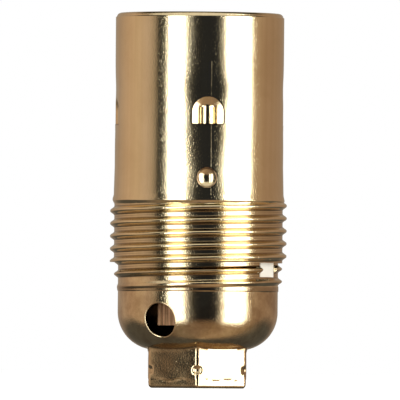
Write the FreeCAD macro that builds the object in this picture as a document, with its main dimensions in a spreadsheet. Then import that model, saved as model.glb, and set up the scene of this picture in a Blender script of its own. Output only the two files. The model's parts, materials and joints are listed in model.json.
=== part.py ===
import FreeCAD, Part
import math
import os
from types import SimpleNamespace
import Sketcher
from FreeCAD import Placement, Rotation, Vector

# A brass lamp holder with a small Edison screw socket, in two screwed halves.
# Millimetres. Z runs up the holder from the foot of its hexagonal neck to the lamp's mouth.
# Turns about Z count from the front, -Y, towards +X.

# Every driving size: name, value, meaning.
SIZES = [
    ("thread_pitch", 2.0, "pitch of the rolled thread on both shells"),
    ("ridge_height", 0.65, "height of the rolled ridge over its root"),
    ("ridge_crest", 0.4, "width of the ridge at its crest"),
    ("ridge_base", 1.27, "width of the ridge at its root"),
    ("thread_play", 0.1, "how much narrower the inner shell's ridge is"),
    ("thread_phase", 19.0, "height of the ridge's middle at +X, just under the upper shell's edge"),
    ("hollow_stop", 0.03, "turns by which the furrow inside ends before its ridge"),
    ("mantle_wall", 0.3, "sheet of the upper shell"),
    ("mantle_root", 13.35, "outside radius of the upper shell between the ridges"),
    ("mantle_foot", 19.9, "height of the upper shell's lower edge"),
    ("mantle_turns", 5.25, "turns of the upper shell's ridge"),
    ("lip_foot", 29.1, "height where the thread gives way to the lip"),
    ("lip_rise", 0.6, "height from there to the lip's edge"),
    ("lip_radius", 13.65, "radius of the lip"),
    ("flare_radius", 13.46, "radius of the sleeve just above the lip"),
    ("flare_foot", 30.6, "height where the sleeve starts above the lip"),
    ("flare_top", 41.0, "height where the sleeve becomes straight"),
    ("sleeve_radius", 13.2, "radius of the straight sleeve"),
    ("mantle_top", 59.4, "height of the mouth"),
    ("rim_bend", 0.7, "outside radius of the rim's inward bend"),
    ("nib_count", 4, "lanced nibs round the sleeve"),
    ("nib_turn", 6.0, "turn of the first nib from the front, in degrees"),
    ("nib_foot", 41.7, "height of the nib's sheared ledge"),
    ("nib_rise", 4.3, "height of the nib"),
    ("nib_width", 5.0, "width of the nib"),
    ("nib_depth", 1.2, "how far the nib is pressed in"),
    ("dimple_turn", 5.4, "turn of the first dimple from the front, in degrees"),
    ("dimple_level", 33.2, "height of the dimples' centre"),
    ("dimple_width", 3.4, "width of a dimple at the sheet"),
    ("dimple_floor", 1.4, "width of a dimple's floor"),
    ("dimple_depth", 0.7, "how far a dimple is pressed in"),
    ("cap_wall", 0.3, "sheet of the lower shell"),
    ("nest_play", 0.37, "room between the two shells between their ridges"),
    ("cap_rim", 25.4, "height of the lower shell's rim"),
    ("fade_turns", 0.5, "turns over which the lower ridge fades out"),
    ("dome_bend", 6.0, "outside radius of the dome's corner"),
    ("neck_height", 6.05, "height of the hexagonal neck under the dome"),
    ("neck_flats", 15.4, "the neck across its flats"),
    ("neck_edge", 0.6, "radius of the neck's edges"),
    ("entry_radius", 5.2, "radius of the entry in the neck's floor"),
    ("stake_level", 2.85, "height of the stakes on the neck's corners"),
    ("stake_height", 1.4, "height of a stake"),
    ("stake_width", 1.3, "width of a stake"),
    ("stake_depth", 0.5, "how far a stake is pressed in"),
    ("side_hole_turn", -29.0, "turn of the side hole from the front, in degrees"),
    ("side_hole_level", 10.75, "height of the side hole's centre"),
    ("side_hole_radius", 2.75, "radius of the side hole"),
    ("notch_turn", 60.0, "turn of the key notches from the front, in degrees"),
    ("notch_width", 4.4, "width of a key notch"),
    ("notch_foot", 17.65, "height of a key notch's floor"),
    ("nut_height", 3.0, "height of the neck's nut"),
    ("nut_bore", 4.5, "radius of the nut's tapped hole"),
    ("nut_play", 0.1, "room between the nut and the neck's flats"),
    ("gap", 0.3, "room between pieces that move or drop past each other"),
    ("base_top", 24.6, "height of the porcelain base's top"),
    ("key_slot_width", 5.0, "width of the slots that keep the liner from turning"),
    ("key_slot_floor", 9.6, "radius of those slots' floor"),
    ("chamber_radius", 9.0, "radius of the contact chamber in the liner"),
    ("chamber_top", 32.0, "height of the contact chamber's ceiling"),
    ("lamp_bore", 6.9, "radius of the liner's bore, at the thread's root"),
    ("skirt_play", 0.6, "room between the liner's skirt and the dimples"),
    ("neck_play", 0.5, "room between the liner's neck and the nibs"),
    ("mouth_sink", 1.8, "how far the liner's mouth lies below the rim"),
    ("liner_leg", 6.9, "length of the liner's key legs"),
    ("mouth_chamfer", 0.8, "bevel of the liner's mouth"),
    ("strip_width", 7.0, "width of a terminal strip"),
    ("strip_wall", 1.2, "thickness of a terminal strip"),
    ("strip_side", -2.8, "place of the terminal strip's middle along X"),
    ("strip_face", 6.5, "distance of a strip's clamping face from the axis"),
    ("strip_foot", 9.9, "height of a strip's lower end"),
    ("strip_reach", 5.0, "length of a strip's foot under the base"),
    ("rivet_back", 3.2, "distance of a rivet from the middle plane"),
    ("rivet_shank", 1.0, "radius of a rivet's shank"),
    ("rivet_head", 1.9, "radius of a rivet's head"),
    ("rivet_rise", 0.8, "height of a rivet's head"),
    ("screw_side", -1.6, "place of a terminal screw along X"),
    ("screw_level", 13.9, "height of a terminal screw"),
    ("screw_shank", 1.45, "radius of a screw's shank"),
    ("screw_head", 2.6, "radius of a screw's head"),
    ("screw_rise", 1.6, "height of a screw's head"),
    ("screw_length", 2.6, "length of a terminal screw under its saddle"),
    ("slot_width", 0.8, "width of a screwdriver slot"),
    ("slot_depth", 0.8, "depth of a screwdriver slot"),
    ("fit_play", 0.05, "room round a shank in its hole"),
    ("saddle_size", 4.4, "side of a wire saddle"),
    ("saddle_wall", 0.8, "thickness of a wire saddle"),
    ("contact_wall", 0.4, "thickness of the contacts"),
    ("contact_width", 4.4, "width of the contacts"),
    ("spring_wall", 0.3, "thickness of the backing spring"),
    ("spring_width", 3.6, "width of the backing spring"),
    ("tongue_rise", 4.6, "height of the centre contact's tip over the base"),
    ("tongue_reach", 3.2, "how far the centre contact's tip passes the axis"),
    ("foot_back", 2.4, "how far a contact's foot reaches behind its rivet"),
    ("side_reach", 8.3, "radius where the side contact turns up"),
    ("side_top", 30.6, "height of the side contact's tip"),
    ("side_lean", 6.5, "radius of the side contact's tip"),
    ("earth_turn", 90.0, "turn of the earth bracket from the front, in degrees"),
    ("earth_wall", 0.8, "thickness of the earth bracket"),
    ("earth_span", 24.0, "how much of the wall the bracket's back covers, in degrees"),
    ("earth_foot", 12.4, "height of the earth bracket's shelf"),
    ("earth_rise", 4.6, "height of the bracket's back"),
    ("earth_reach", 5.4, "length of the earth bracket's shelf"),
    ("earth_play", 0.33, "room between the earth screw's head and the bracket's back"),
    ("earth_screw_length", 3.6, "length of the earth screw under its saddle"),
]


class Size:
    """A number together with the spreadsheet formula that gives it."""

    def __init__(self, value, formula):
        self.value = value
        self.formula = formula

    def __add__(self, other):
        return Size(self.value + number(other), f"({self.formula} + {formula(other)})")

    def __radd__(self, other):
        return self + other

    def __sub__(self, other):
        return Size(self.value - number(other), f"({self.formula} - {formula(other)})")

    def __rsub__(self, other):
        return -self + other

    def __neg__(self):
        return Size(-self.value, f"(0 - {self.formula})")

    def __mul__(self, other):
        return Size(self.value * number(other), f"({self.formula} * {formula(other)})")

    def __rmul__(self, other):
        return self * other

    def __truediv__(self, other):
        return Size(self.value / number(other), f"({self.formula} / {formula(other)})")


def number(size):
    return size.value if isinstance(size, Size) else float(size)


def formula(size):
    return size.formula if isinstance(size, Size) else repr(float(size))


def root(size):
    return Size(size.value ** 0.5, f"sqrt({size.formula})")


def sine(angle):
    return Size(math.sin(math.radians(number(angle))), f"sin({formula(angle)})")


def cosine(angle):
    return Size(math.cos(math.radians(number(angle))), f"cos({formula(angle)})")


def arctangent(ratio):
    """Angle in degrees whose tangent is the ratio."""
    return Size(math.degrees(math.atan(ratio.value)), f"(atan({ratio.formula}) / 1 deg)")


def add_followers(sizes):
    """Sizes that follow from a neighbour's size and a clearance."""
    sizes.cap_root = sizes.mantle_root - sizes.mantle_wall - sizes.nest_play
    sizes.liner_skirt = sizes.flare_radius - sizes.dimple_depth - sizes.mantle_wall - sizes.skirt_play
    sizes.liner_neck = sizes.sleeve_radius - sizes.nib_depth - sizes.mantle_wall - sizes.neck_play
    sizes.liner_top = sizes.mantle_top - sizes.mouth_sink
    earth_face = sizes.cap_root - sizes.cap_wall - sizes.fit_play - sizes.earth_wall
    sizes.earth_screw_place = earth_face - sizes.screw_head - sizes.earth_play


def read_sizes(doc):
    """Fill the spreadsheet and return each size under its own name."""
    sheet = doc.addObject("Spreadsheet::Sheet", "Sizes")
    sizes = SimpleNamespace()
    for row, (name, value, meaning) in enumerate(SIZES, start=1):
        sheet.set(f"A{row}", name)
        sheet.set(f"B{row}", str(value))
        sheet.set(f"C{row}", meaning)
        sheet.setAlias(f"B{row}", name)
        setattr(sizes, name, Size(float(value), f"Sizes.{name}"))
    doc.recompute()
    add_followers(sizes)
    return sizes


doc = FreeCAD.newDocument("LampHolder")
s = read_sizes(doc)


def bind(item, path, size):
    """Tie a property to the spreadsheet."""
    if isinstance(size, Size):
        item.setExpression(path, size.formula)


def set_point(sketch, edge, end, x, y):
    """Hold one end of an edge, or a circle's centre, at x, y."""
    for kind, axis, value in (("DistanceX", -2, x), ("DistanceY", -1, y)):
        if number(value) == 0:
            sketch.addConstraint(Sketcher.Constraint("PointOnObject", edge, end, axis))
        else:
            index = sketch.addConstraint(Sketcher.Constraint(kind, -1, 1, edge, end, number(value)))
            bind(sketch, f"Constraints[{index}]", value)


def set_radius(sketch, edge, radius):
    index = sketch.addConstraint(Sketcher.Constraint("Radius", edge, abs(number(radius))))
    bind(sketch, f"Constraints[{index}]", radius if number(radius) > 0 else -radius)


def draw_arc(start, finish, radius):
    """A short arc from start to finish, turning left if the radius is positive."""
    middle = (start + finish) / 2
    chord = finish - start
    across = Vector(-chord.y, chord.x, 0).normalize()
    reach = max(radius ** 2 - chord.Length ** 2 / 4, 0) ** 0.5
    centre = middle + across * (reach if radius > 0 else -reach)
    bulge = centre + (middle - centre).normalize() * abs(radius)
    if reach < 1e-9:
        bulge = middle - across * radius
    return Part.Arc(start, bulge, finish)


def draw_loop(sketch, points):
    """Closed outline. A point is (x, y), or (x, y, radius) where an arc leads to it."""
    first = sketch.GeometryCount
    corners = [Vector(number(point[0]), number(point[1]), 0) for point in points]
    count = len(points)
    starts = []
    for index, point in enumerate(points):
        start, finish = corners[index - 1], corners[index]
        edge = first + index
        if len(point) == 3:
            sketch.addGeometry(draw_arc(start, finish, number(point[2])), False)
            # An arc keeps its ends in counterclockwise order.
            starts.append((edge, 1, 2) if number(point[2]) > 0 else (edge, 2, 1))
        else:
            sketch.addGeometry(Part.LineSegment(start, finish), False)
            starts.append((edge, 1, 2))
    for index, point in enumerate(points):
        edge, start_end, finish_end = starts[index]
        following, next_start = starts[(index + 1) % count][:2]
        joint = Sketcher.Constraint("Coincident", edge, finish_end, following, next_start)
        sketch.addConstraint(joint)
        set_point(sketch, edge, finish_end, point[0], point[1])
        if len(point) == 3:
            set_radius(sketch, edge, point[2])


def draw_circle(sketch, x, y, radius):
    edge = sketch.GeometryCount
    centre = Vector(number(x), number(y), 0)
    sketch.addGeometry(Part.Circle(centre, Vector(0, 0, 1), number(radius)), False)
    set_point(sketch, edge, 3, x, y)
    set_radius(sketch, edge, radius)


def new_sketch(body, name, plane, loops=(), circles=(), lift=0, rise=0, turn=0):
    """Sketch on one of the body's own planes.

    lift moves it along its normal, rise along its upward axis, and turn swings it
    about Z: on XZ_Plane the normal then points turn degrees round from the front.
    """
    sketch = body.newObject("Sketcher::SketchObject", name)
    role = [item for item in body.Origin.OriginFeatures if item.Role == plane][0]
    sketch.AttachmentSupport = [(role, "")]
    sketch.MapMode = "FlatFace"
    if isinstance(turn, Size):
        axis = Vector(0, 1, 0) if plane == "XZ_Plane" else Vector(0, 0, 1)
        sketch.AttachmentOffset = Placement(Vector(), Rotation(axis, turn.value))
        bind(sketch, "AttachmentOffset.Rotation.Angle", turn)
        if plane == "XZ_Plane" and isinstance(lift, Size):
            bind(sketch, "AttachmentOffset.Base.x", lift * sine(turn))
            bind(sketch, "AttachmentOffset.Base.z", lift * cosine(turn))
        else:
            bind(sketch, "AttachmentOffset.Base.z", lift)
    else:
        bind(sketch, "AttachmentOffset.Base.z", lift)
    bind(sketch, "AttachmentOffset.Base.y", rise)
    for points in loops:
        draw_loop(sketch, points)
    for circle in circles:
        draw_circle(sketch, *circle)
    return sketch


def add(body, kind, name, profile, **settings):
    """PartDesign feature on a profile, with its settings tied to the spreadsheet."""
    item = body.newObject("PartDesign::" + kind, name)
    item.Profile = profile
    for key, value in settings.items():
        setattr(item, key, number(value) if isinstance(value, Size) else value)
        bind(item, key, value)
    doc.recompute()
    return item


def cut(body, kind, name, profile, **settings):
    """The same for a feature that must take material away."""
    before = body.Shape.Volume
    item = add(body, kind, name, profile, **settings)
    if not item.Shape.Volume < before - 1e-6:
        raise ValueError(f"{item.Label} cuts nothing")
    return item


def spin(body, kind, name, loop, **settings):
    """Revolution or groove about Z of an outline in the XZ plane."""
    profile = new_sketch(body, name + "_outline", "XZ_Plane", [loop])
    work = cut if kind == "Groove" else add
    return work(body, kind, name, profile, ReferenceAxis=(profile, ["V_Axis"]), Angle=360, **settings)


def repeat(body, name, features, count):
    """Even copies of some features about Z."""
    pattern = body.newObject("PartDesign::PolarPattern", name)
    pattern.Originals = features
    axis = [item for item in body.Origin.OriginFeatures if item.Role == "Z_Axis"][0]
    pattern.Axis = (axis, [""])
    pattern.Angle = 360
    pattern.Occurrences = int(number(count))
    bind(pattern, "Occurrences", count)
    body.Tip = pattern
    doc.recompute()
    return pattern


def new_body(name):
    body = doc.addObject("PartDesign::Body", name)
    body.Label = name
    return body


def box(left, low, right, high):
    """Corners of a rectangle, counterclockwise."""
    return [(left, low), (right, low), (right, high), (left, high)]


def hexagon(flats):
    """Hexagon with corners at the front and the back."""
    side = flats / 2
    corner = flats / root(Size(3.0, "3"))
    return [(side, corner / 2), (0, corner), (-side, corner / 2),
            (-side, -corner / 2), (0, -corner), (side, -corner / 2)]


def arch(width, foot, rise):
    """Window with a flat foot and a round top."""
    half = width / 2
    shoulder = foot + rise - half
    return [(half, foot), (half, shoulder), (0, foot + rise, half), (-half, shoulder, half), (-half, foot)]


def helix(body, kind, name, loop, turns, **settings):
    """Outline in the XZ plane carried round Z as a right-handed screw."""
    profile = new_sketch(body, name + "_outline", "XZ_Plane", [loop])
    work = add if kind == "AdditiveHelix" else cut
    return work(body, kind, name, profile, ReferenceAxis=(profile, ["V_Axis"]), Mode=1,
                Pitch=s.thread_pitch, Turns=turns, LeftHanded=False, **settings)


def ridge_outline(shell_root, wall, foot, play):
    """The rolled ridge's section, rooted half-way into the sheet."""
    inner = shell_root - wall / 2
    crest = shell_root + s.ridge_height
    base_half = (s.ridge_base - play) / 2
    crest_half = (s.ridge_crest - play) / 2
    return [(inner, foot - base_half), (shell_root, foot - base_half), (crest, foot - crest_half),
            (crest, foot + crest_half), (shell_root, foot + base_half), (inner, foot + base_half)]


def hollow_outline(shell_root, wall, foot, play):
    """The furrow that rolling leaves behind the ridge, one sheet's thickness under it."""
    run = (s.ridge_base - s.ridge_crest) / 2
    flank = root(run * run + s.ridge_height * s.ridge_height)
    tip = shell_root + s.ridge_height - wall
    half = (s.ridge_base - play) / 2 - wall * (flank - run) / s.ridge_height
    start = shell_root - wall * 2
    start_half = half * (s.ridge_height + wall) / s.ridge_height
    return [(start, foot - start_half), (tip, foot), (start, foot + start_half)]


def sleeve_at(level):
    """Outside radius of the flared sleeve at a height."""
    share = (level - s.flare_foot) / (s.flare_top - s.flare_foot)
    return s.flare_radius + (s.sleeve_radius - s.flare_radius) * share


def mantle():
    body = new_body("mantle")
    wall = s.mantle_wall
    lip_level = s.lip_foot + s.lip_rise
    bend_level = s.mantle_top - s.rim_bend
    spin(body, "Revolution", "sheet", [
        (s.mantle_root - wall, s.mantle_foot),
        (s.mantle_root, s.mantle_foot),
        (s.mantle_root, s.lip_foot),
        (s.lip_radius, lip_level),
        (s.flare_radius, s.flare_foot),
        (s.sleeve_radius, s.flare_top),
        (s.sleeve_radius, bend_level),
        (s.sleeve_radius - s.rim_bend, s.mantle_top, s.rim_bend),
        (s.sleeve_radius - s.rim_bend, s.mantle_top - wall),
        (s.sleeve_radius - wall, bend_level),
        (s.sleeve_radius - wall, s.flare_top),
        (s.flare_radius - wall, s.flare_foot),
        (s.lip_radius - wall, lip_level),
        (s.mantle_root - wall, s.lip_foot),
    ])
    ridge = ridge_outline(s.mantle_root, wall, s.thread_phase, 0)
    helix(body, "AdditiveHelix", "ridge", ridge, s.mantle_turns)
    below = s.mantle_foot - s.thread_pitch
    outside = s.mantle_root + s.ridge_height * 2
    spin(body, "Groove", "foot_trim", box(s.mantle_root - wall * 2, below, outside, s.mantle_foot))
    hollow = hollow_outline(s.mantle_root, wall, s.thread_phase, 0)
    helix(body, "SubtractiveHelix", "hollow", hollow, s.mantle_turns - s.hollow_stop)
    press_nibs(body)
    press_dimples(body)
    return body


def press_nibs(body):
    """Lanced nibs: arched pockets pressed inwards and sheared along their foot."""
    wall = s.mantle_wall
    floor = s.sleeve_radius - s.nib_depth
    boss_sketch = new_sketch(body, "nib_boss_outline", "XZ_Plane",
                             [arch(s.nib_width, s.nib_foot, s.nib_rise)], lift=floor - wall, turn=s.nib_turn)
    boss = add(body, "Pad", "nib_boss", boss_sketch, Length=s.nib_depth + wall * 2)
    repeat(body, "nib_bosses", [boss], s.nib_count)
    nib_top = s.nib_foot + s.nib_rise
    outside = s.sleeve_radius + s.nib_depth
    spin(body, "Groove", "nib_trim", box(s.sleeve_radius, s.nib_foot - wall, outside, nib_top + wall))
    pocket_sketch = new_sketch(body, "nib_pocket_outline", "XZ_Plane",
                               [arch(s.nib_width - wall * 2, s.nib_foot, s.nib_rise - wall)],
                               lift=floor, turn=s.nib_turn)
    pocket = cut(body, "Pocket", "nib_pocket", pocket_sketch, Length=s.nib_depth * 2, Reversed=True)
    repeat(body, "nibs", [pocket], s.nib_count)


def press_dimples(body):
    """Two round dimples under the nibs, which keep the porcelain from dropping out."""
    turn = s.dimple_turn - 90
    surface = sleeve_at(s.dimple_level)
    wall = s.mantle_wall
    floor = surface - s.dimple_depth
    boss_end = surface - wall * 2 / 3
    boss_outline = [
        (floor - wall, 0),
        (boss_end, 0),
        (boss_end, s.dimple_width / 2 + wall),
        (floor - wall, s.dimple_floor / 2 + wall / 2),
    ]
    boss_sketch = new_sketch(body, "dimple_boss_outline", "XZ_Plane", [boss_outline],
                             rise=s.dimple_level, turn=turn)
    boss = add(body, "Revolution", "dimple_boss", boss_sketch, ReferenceAxis=(boss_sketch, ["H_Axis"]),
               Angle=360)
    slope = (s.dimple_width - s.dimple_floor) / 2
    pocket_outline = [
        (floor, 0),
        (surface + s.dimple_depth, 0),
        (surface + s.dimple_depth, s.dimple_width / 2 + slope),
        (floor, s.dimple_floor / 2),
    ]
    pocket_sketch = new_sketch(body, "dimple_pocket_outline", "XZ_Plane", [pocket_outline],
                               rise=s.dimple_level, turn=turn)
    pocket = cut(body, "Groove", "dimple_pocket", pocket_sketch, ReferenceAxis=(pocket_sketch, ["H_Axis"]),
                 Angle=360)
    repeat(body, "dimples", [boss, pocket], 2)


def cap():
    body = new_body("cap")
    wall = s.cap_wall
    dome_foot = s.neck_height
    bend_side = s.cap_root - s.dome_bend
    bend_level = dome_foot + s.dome_bend
    spin(body, "Revolution", "dome", [
        (0, dome_foot),
        (bend_side, dome_foot),
        (s.cap_root, bend_level, s.dome_bend),
        (s.cap_root, s.cap_rim),
        (0, s.cap_rim),
    ])
    neck_sketch = new_sketch(body, "neck_outline", "XY_Plane", [hexagon(s.neck_flats)])
    neck = add(body, "Pad", "neck", neck_sketch, Length=s.neck_height + wall * 3)
    round_neck(body, neck)
    start = s.thread_phase - s.thread_pitch
    ridge = ridge_outline(s.cap_root, wall, start, s.thread_play)
    turns = (s.cap_rim + s.thread_pitch / 2 - start) / s.thread_pitch
    helix(body, "AdditiveHelix", "ridge", ridge, turns)
    fade = arctangent(s.ridge_height / (s.fade_turns * s.thread_pitch))
    helix(body, "AdditiveHelix", "fade", ridge, s.fade_turns, Reversed=True, Angle=-fade)
    above = s.cap_rim + s.thread_pitch * 2
    spin(body, "Groove", "rim_trim", box(s.cap_root - wall * 2, s.cap_rim, s.cap_root + s.dome_bend, above))
    # The hidden side of the dome is three straight bands within the same bend.
    inner_bend = s.dome_bend - wall
    bands = [(bend_side + inner_bend * sine(turn), bend_level - inner_bend * cosine(turn)) for turn in (30, 60)]
    spin(body, "Groove", "inside", [
        (0, dome_foot + wall),
        (bend_side, dome_foot + wall),
        *bands,
        (s.cap_root - wall, bend_level),
        (s.cap_root - wall, above),
        (0, above),
    ])
    pierce_cap(body)
    stake_neck(body)
    return body


def round_neck(body, neck):
    """Round the neck's upright corners and its foot."""
    names = []
    for index, edge in enumerate(neck.Shape.Edges, start=1):
        low = edge.BoundBox.ZMin
        high = edge.BoundBox.ZMax
        if low < 1e-6 and (high < 1e-6 or high > s.neck_height.value / 2):
            names.append(f"Edge{index}")
    rounding = body.newObject("PartDesign::Fillet", "neck_edges")
    rounding.Base = (neck, names)
    rounding.Radius = s.neck_edge.value
    bind(rounding, "Radius", s.neck_edge)
    doc.recompute()


def pierce_cap(body):
    """The neck's inside and entry, the side hole and the two key notches."""
    wall = s.cap_wall
    inside_sketch = new_sketch(body, "neck_inside_outline", "XY_Plane",
                               [hexagon(s.neck_flats - wall * 2)], lift=wall)
    cut(body, "Pocket", "neck_inside", inside_sketch, Length=s.neck_height + wall * 2, Reversed=True)
    entry_sketch = new_sketch(body, "entry_outline", "XY_Plane", circles=[(0, 0, s.entry_radius)], lift=wall)
    cut(body, "Pocket", "entry", entry_sketch, Length=wall * 2)
    hole_sketch = new_sketch(body, "side_hole_outline", "XZ_Plane",
                             circles=[(0, s.side_hole_level, s.side_hole_radius)], turn=s.side_hole_turn)
    cut(body, "Pocket", "side_hole", hole_sketch, Length=s.cap_root * 2, Reversed=True)
    half = s.notch_width / 2
    notch_sketch = new_sketch(body, "notch_outline", "XZ_Plane",
                              [box(-half, s.notch_foot, half, s.cap_rim + s.thread_pitch)],
                              turn=s.notch_turn)
    cut(body, "Pocket", "notches", notch_sketch, Length=s.cap_root * 4, Midplane=True)


def stake_neck(body):
    """A stake at each of the neck's corners, which holds the nut down."""
    corner = s.neck_flats / root(Size(3.0, "3"))
    inner = (s.neck_flats - s.cap_wall * 2) / root(Size(3.0, "3"))
    boss_half = (s.stake_height - s.cap_wall) / 2
    boss_outline = [(inner, s.stake_level - boss_half), (inner, s.stake_level + boss_half),
                    (inner - s.stake_depth, s.stake_level)]
    boss_sketch = new_sketch(body, "stake_boss_outline", "YZ_Plane", [boss_outline])
    boss = add(body, "Pad", "stake_boss", boss_sketch, Length=s.stake_width, Midplane=True)
    half = s.stake_height / 2
    pocket_outline = [(corner, s.stake_level - half), (corner, s.stake_level + half),
                      (corner - s.stake_depth, s.stake_level)]
    pocket_sketch = new_sketch(body, "stake_pocket_outline", "YZ_Plane", [pocket_outline])
    pocket = cut(body, "Pocket", "stake_pocket", pocket_sketch, Length=s.stake_width, Midplane=True)
    repeat(body, "stakes", [boss, pocket], 6)


def neck_nut():
    body = new_body("neck_nut")
    flats = s.neck_flats - (s.cap_wall + s.nut_play) * 2
    top = s.cap_wall + s.nut_height
    sketch = new_sketch(body, "nut_outline", "XY_Plane", [hexagon(flats)], [(0, 0, s.nut_bore)],
                        lift=s.cap_wall)
    add(body, "Pad", "nut", sketch, Length=s.nut_height)
    side = flats / 2
    bevel = s.nut_height / 2
    spin(body, "Groove", "nut_bevel", [(side, top), (side + bevel, top - bevel), (side + bevel, top)])
    return body


def contact_base():
    """Porcelain disc, keyed in the cap's notches, with slots for the liner's legs."""
    body = new_body("contact_base")
    radius = s.cap_root - s.cap_wall - s.gap
    height = s.base_top - s.notch_foot
    disc_sketch = new_sketch(body, "disc_outline", "XY_Plane", circles=[(0, 0, radius)], lift=s.notch_foot)
    add(body, "Pad", "disc", disc_sketch, Length=height)
    half = s.notch_width / 2 - s.gap / 2
    rim = s.mantle_root - s.mantle_wall - s.gap
    reach = root(rim * rim - half * half)
    key_sketch = new_sketch(body, "keys_outline", "XY_Plane", [box(-reach, -half, reach, half)],
                            lift=s.notch_foot, turn=s.notch_turn - 90)
    add(body, "Pad", "keys", key_sketch, Length=height)
    slot_half = s.key_slot_width / 2
    slots = [box(s.key_slot_floor, -slot_half, s.cap_root, slot_half),
             box(-s.cap_root, -slot_half, -s.key_slot_floor, slot_half)]
    slot_sketch = new_sketch(body, "slots_outline", "XY_Plane", slots, lift=s.base_top, turn=s.notch_turn)
    cut(body, "Pocket", "leg_slots", slot_sketch, Length=height * 2)
    radius = s.rivet_shank + s.fit_play
    holes = [(s.strip_side, -s.rivet_back, radius), (-s.strip_side, s.rivet_back, radius)]
    hole_sketch = new_sketch(body, "holes_outline", "XY_Plane", circles=holes, lift=s.base_top)
    cut(body, "Pocket", "rivet_holes", hole_sketch, Length=height * 2)
    return body


def lamp_liner():
    """Porcelain sleeve for the lamp's screw shell, trapped between nibs and dimples."""
    body = new_body("lamp_liner")
    foot = s.base_top + s.gap
    collar_foot = s.dimple_level + s.dimple_width / 2 + s.gap
    collar_top = s.nib_foot - s.gap
    collar_low = sleeve_at(collar_foot) - s.mantle_wall - s.gap
    collar_high = s.sleeve_radius - s.mantle_wall - s.gap
    spin(body, "Revolution", "sleeve", [
        (s.chamber_radius, foot),
        (s.liner_skirt, foot),
        (s.liner_skirt, collar_foot),
        (collar_low, collar_foot),
        (collar_high, collar_top),
        (s.liner_neck, collar_top),
        (s.liner_neck, s.liner_top),
        (s.lamp_bore + s.mouth_chamfer, s.liner_top),
        (s.lamp_bore, s.liner_top - s.mouth_chamfer),
        (s.lamp_bore, s.chamber_top),
        (s.chamber_radius, s.chamber_top),
    ])
    half = s.key_slot_width / 2 - s.gap
    inner = s.key_slot_floor + s.gap
    outer = root(s.liner_skirt * s.liner_skirt - half * half) - s.gap / 2
    legs = [box(inner, -half, outer, half), box(-outer, -half, -inner, half)]
    leg_sketch = new_sketch(body, "legs_outline", "XY_Plane", legs, lift=foot, turn=s.notch_turn)
    add(body, "Pad", "legs", leg_sketch, Length=s.liner_leg, Reversed=True)
    return body


def contact_strip(name, wall, width, foot_level, bend_shift, tip_back):
    """Leaf from the line rivet's foot, rising in a slant over the axis."""
    body = new_body(name)
    turn = arctangent(s.strip_side / s.rivet_back)
    rivet = root(s.strip_side * s.strip_side + s.rivet_back * s.rivet_back)
    bend = rivet - s.rivet_head - s.gap - bend_shift
    slope = s.tongue_rise / (bend + bend_shift + s.tongue_reach)
    tip = tip_back - s.tongue_reach
    rise = wall * root(slope * slope + 1)
    low = foot_level + slope * (bend - tip)
    outline = [
        (rivet + s.foot_back, foot_level),
        (rivet + s.foot_back, foot_level + wall),
        (bend + (rise - wall) / slope, foot_level + wall),
        (tip, low + rise),
        (tip, low),
        (bend, foot_level),
    ]
    sketch = new_sketch(body, name + "_outline", "XZ_Plane", [outline], turn=turn - 90)
    add(body, "Pad", name + "_strip", sketch, Length=width, Midplane=True)
    hole = [(s.strip_side, -s.rivet_back, s.rivet_shank + s.fit_play)]
    hole_sketch = new_sketch(body, name + "_hole_outline", "XY_Plane", circles=hole, lift=foot_level + wall)
    cut(body, "Pocket", name + "_hole", hole_sketch, Length=wall * 2)
    return body


def centre_contact():
    return contact_strip("centre_contact", s.contact_wall, s.contact_width,
                         s.base_top + s.spring_wall, 0, 0)


def backing_spring():
    return contact_strip("backing_spring", s.spring_wall, s.spring_width, s.base_top, s.gap * 2, s.foot_back)


def side_contact():
    """Strip from the neutral rivet that turns up beside the lamp's screw shell."""
    body = new_body("side_contact")
    turn = arctangent(s.strip_side / s.rivet_back)
    rivet = root(s.strip_side * s.strip_side + s.rivet_back * s.rivet_back)
    wall = s.contact_wall
    outline = [
        (rivet - s.foot_back, s.base_top),
        (s.side_reach, s.base_top),
        (s.side_lean, s.side_top),
        (s.side_lean - wall, s.side_top),
        (s.side_reach - wall, s.base_top + wall),
        (rivet - s.foot_back, s.base_top + wall),
    ]
    sketch = new_sketch(body, "side_outline", "XZ_Plane", [outline], turn=turn + 90)
    add(body, "Pad", "side_strip", sketch, Length=s.contact_width, Midplane=True)
    hole = [(-s.strip_side, s.rivet_back, s.rivet_shank + s.fit_play)]
    hole_sketch = new_sketch(body, "side_hole_outline", "XY_Plane", circles=hole, lift=s.base_top + wall)
    cut(body, "Pocket", "side_hole", hole_sketch, Length=wall * 2)
    return body


def turn_round(body, half_turn):
    """The neutral side's pieces are the line side's, half a turn round."""
    if half_turn:
        body.Placement = Placement(Vector(), Rotation(Vector(0, 0, 1), 180))


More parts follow.
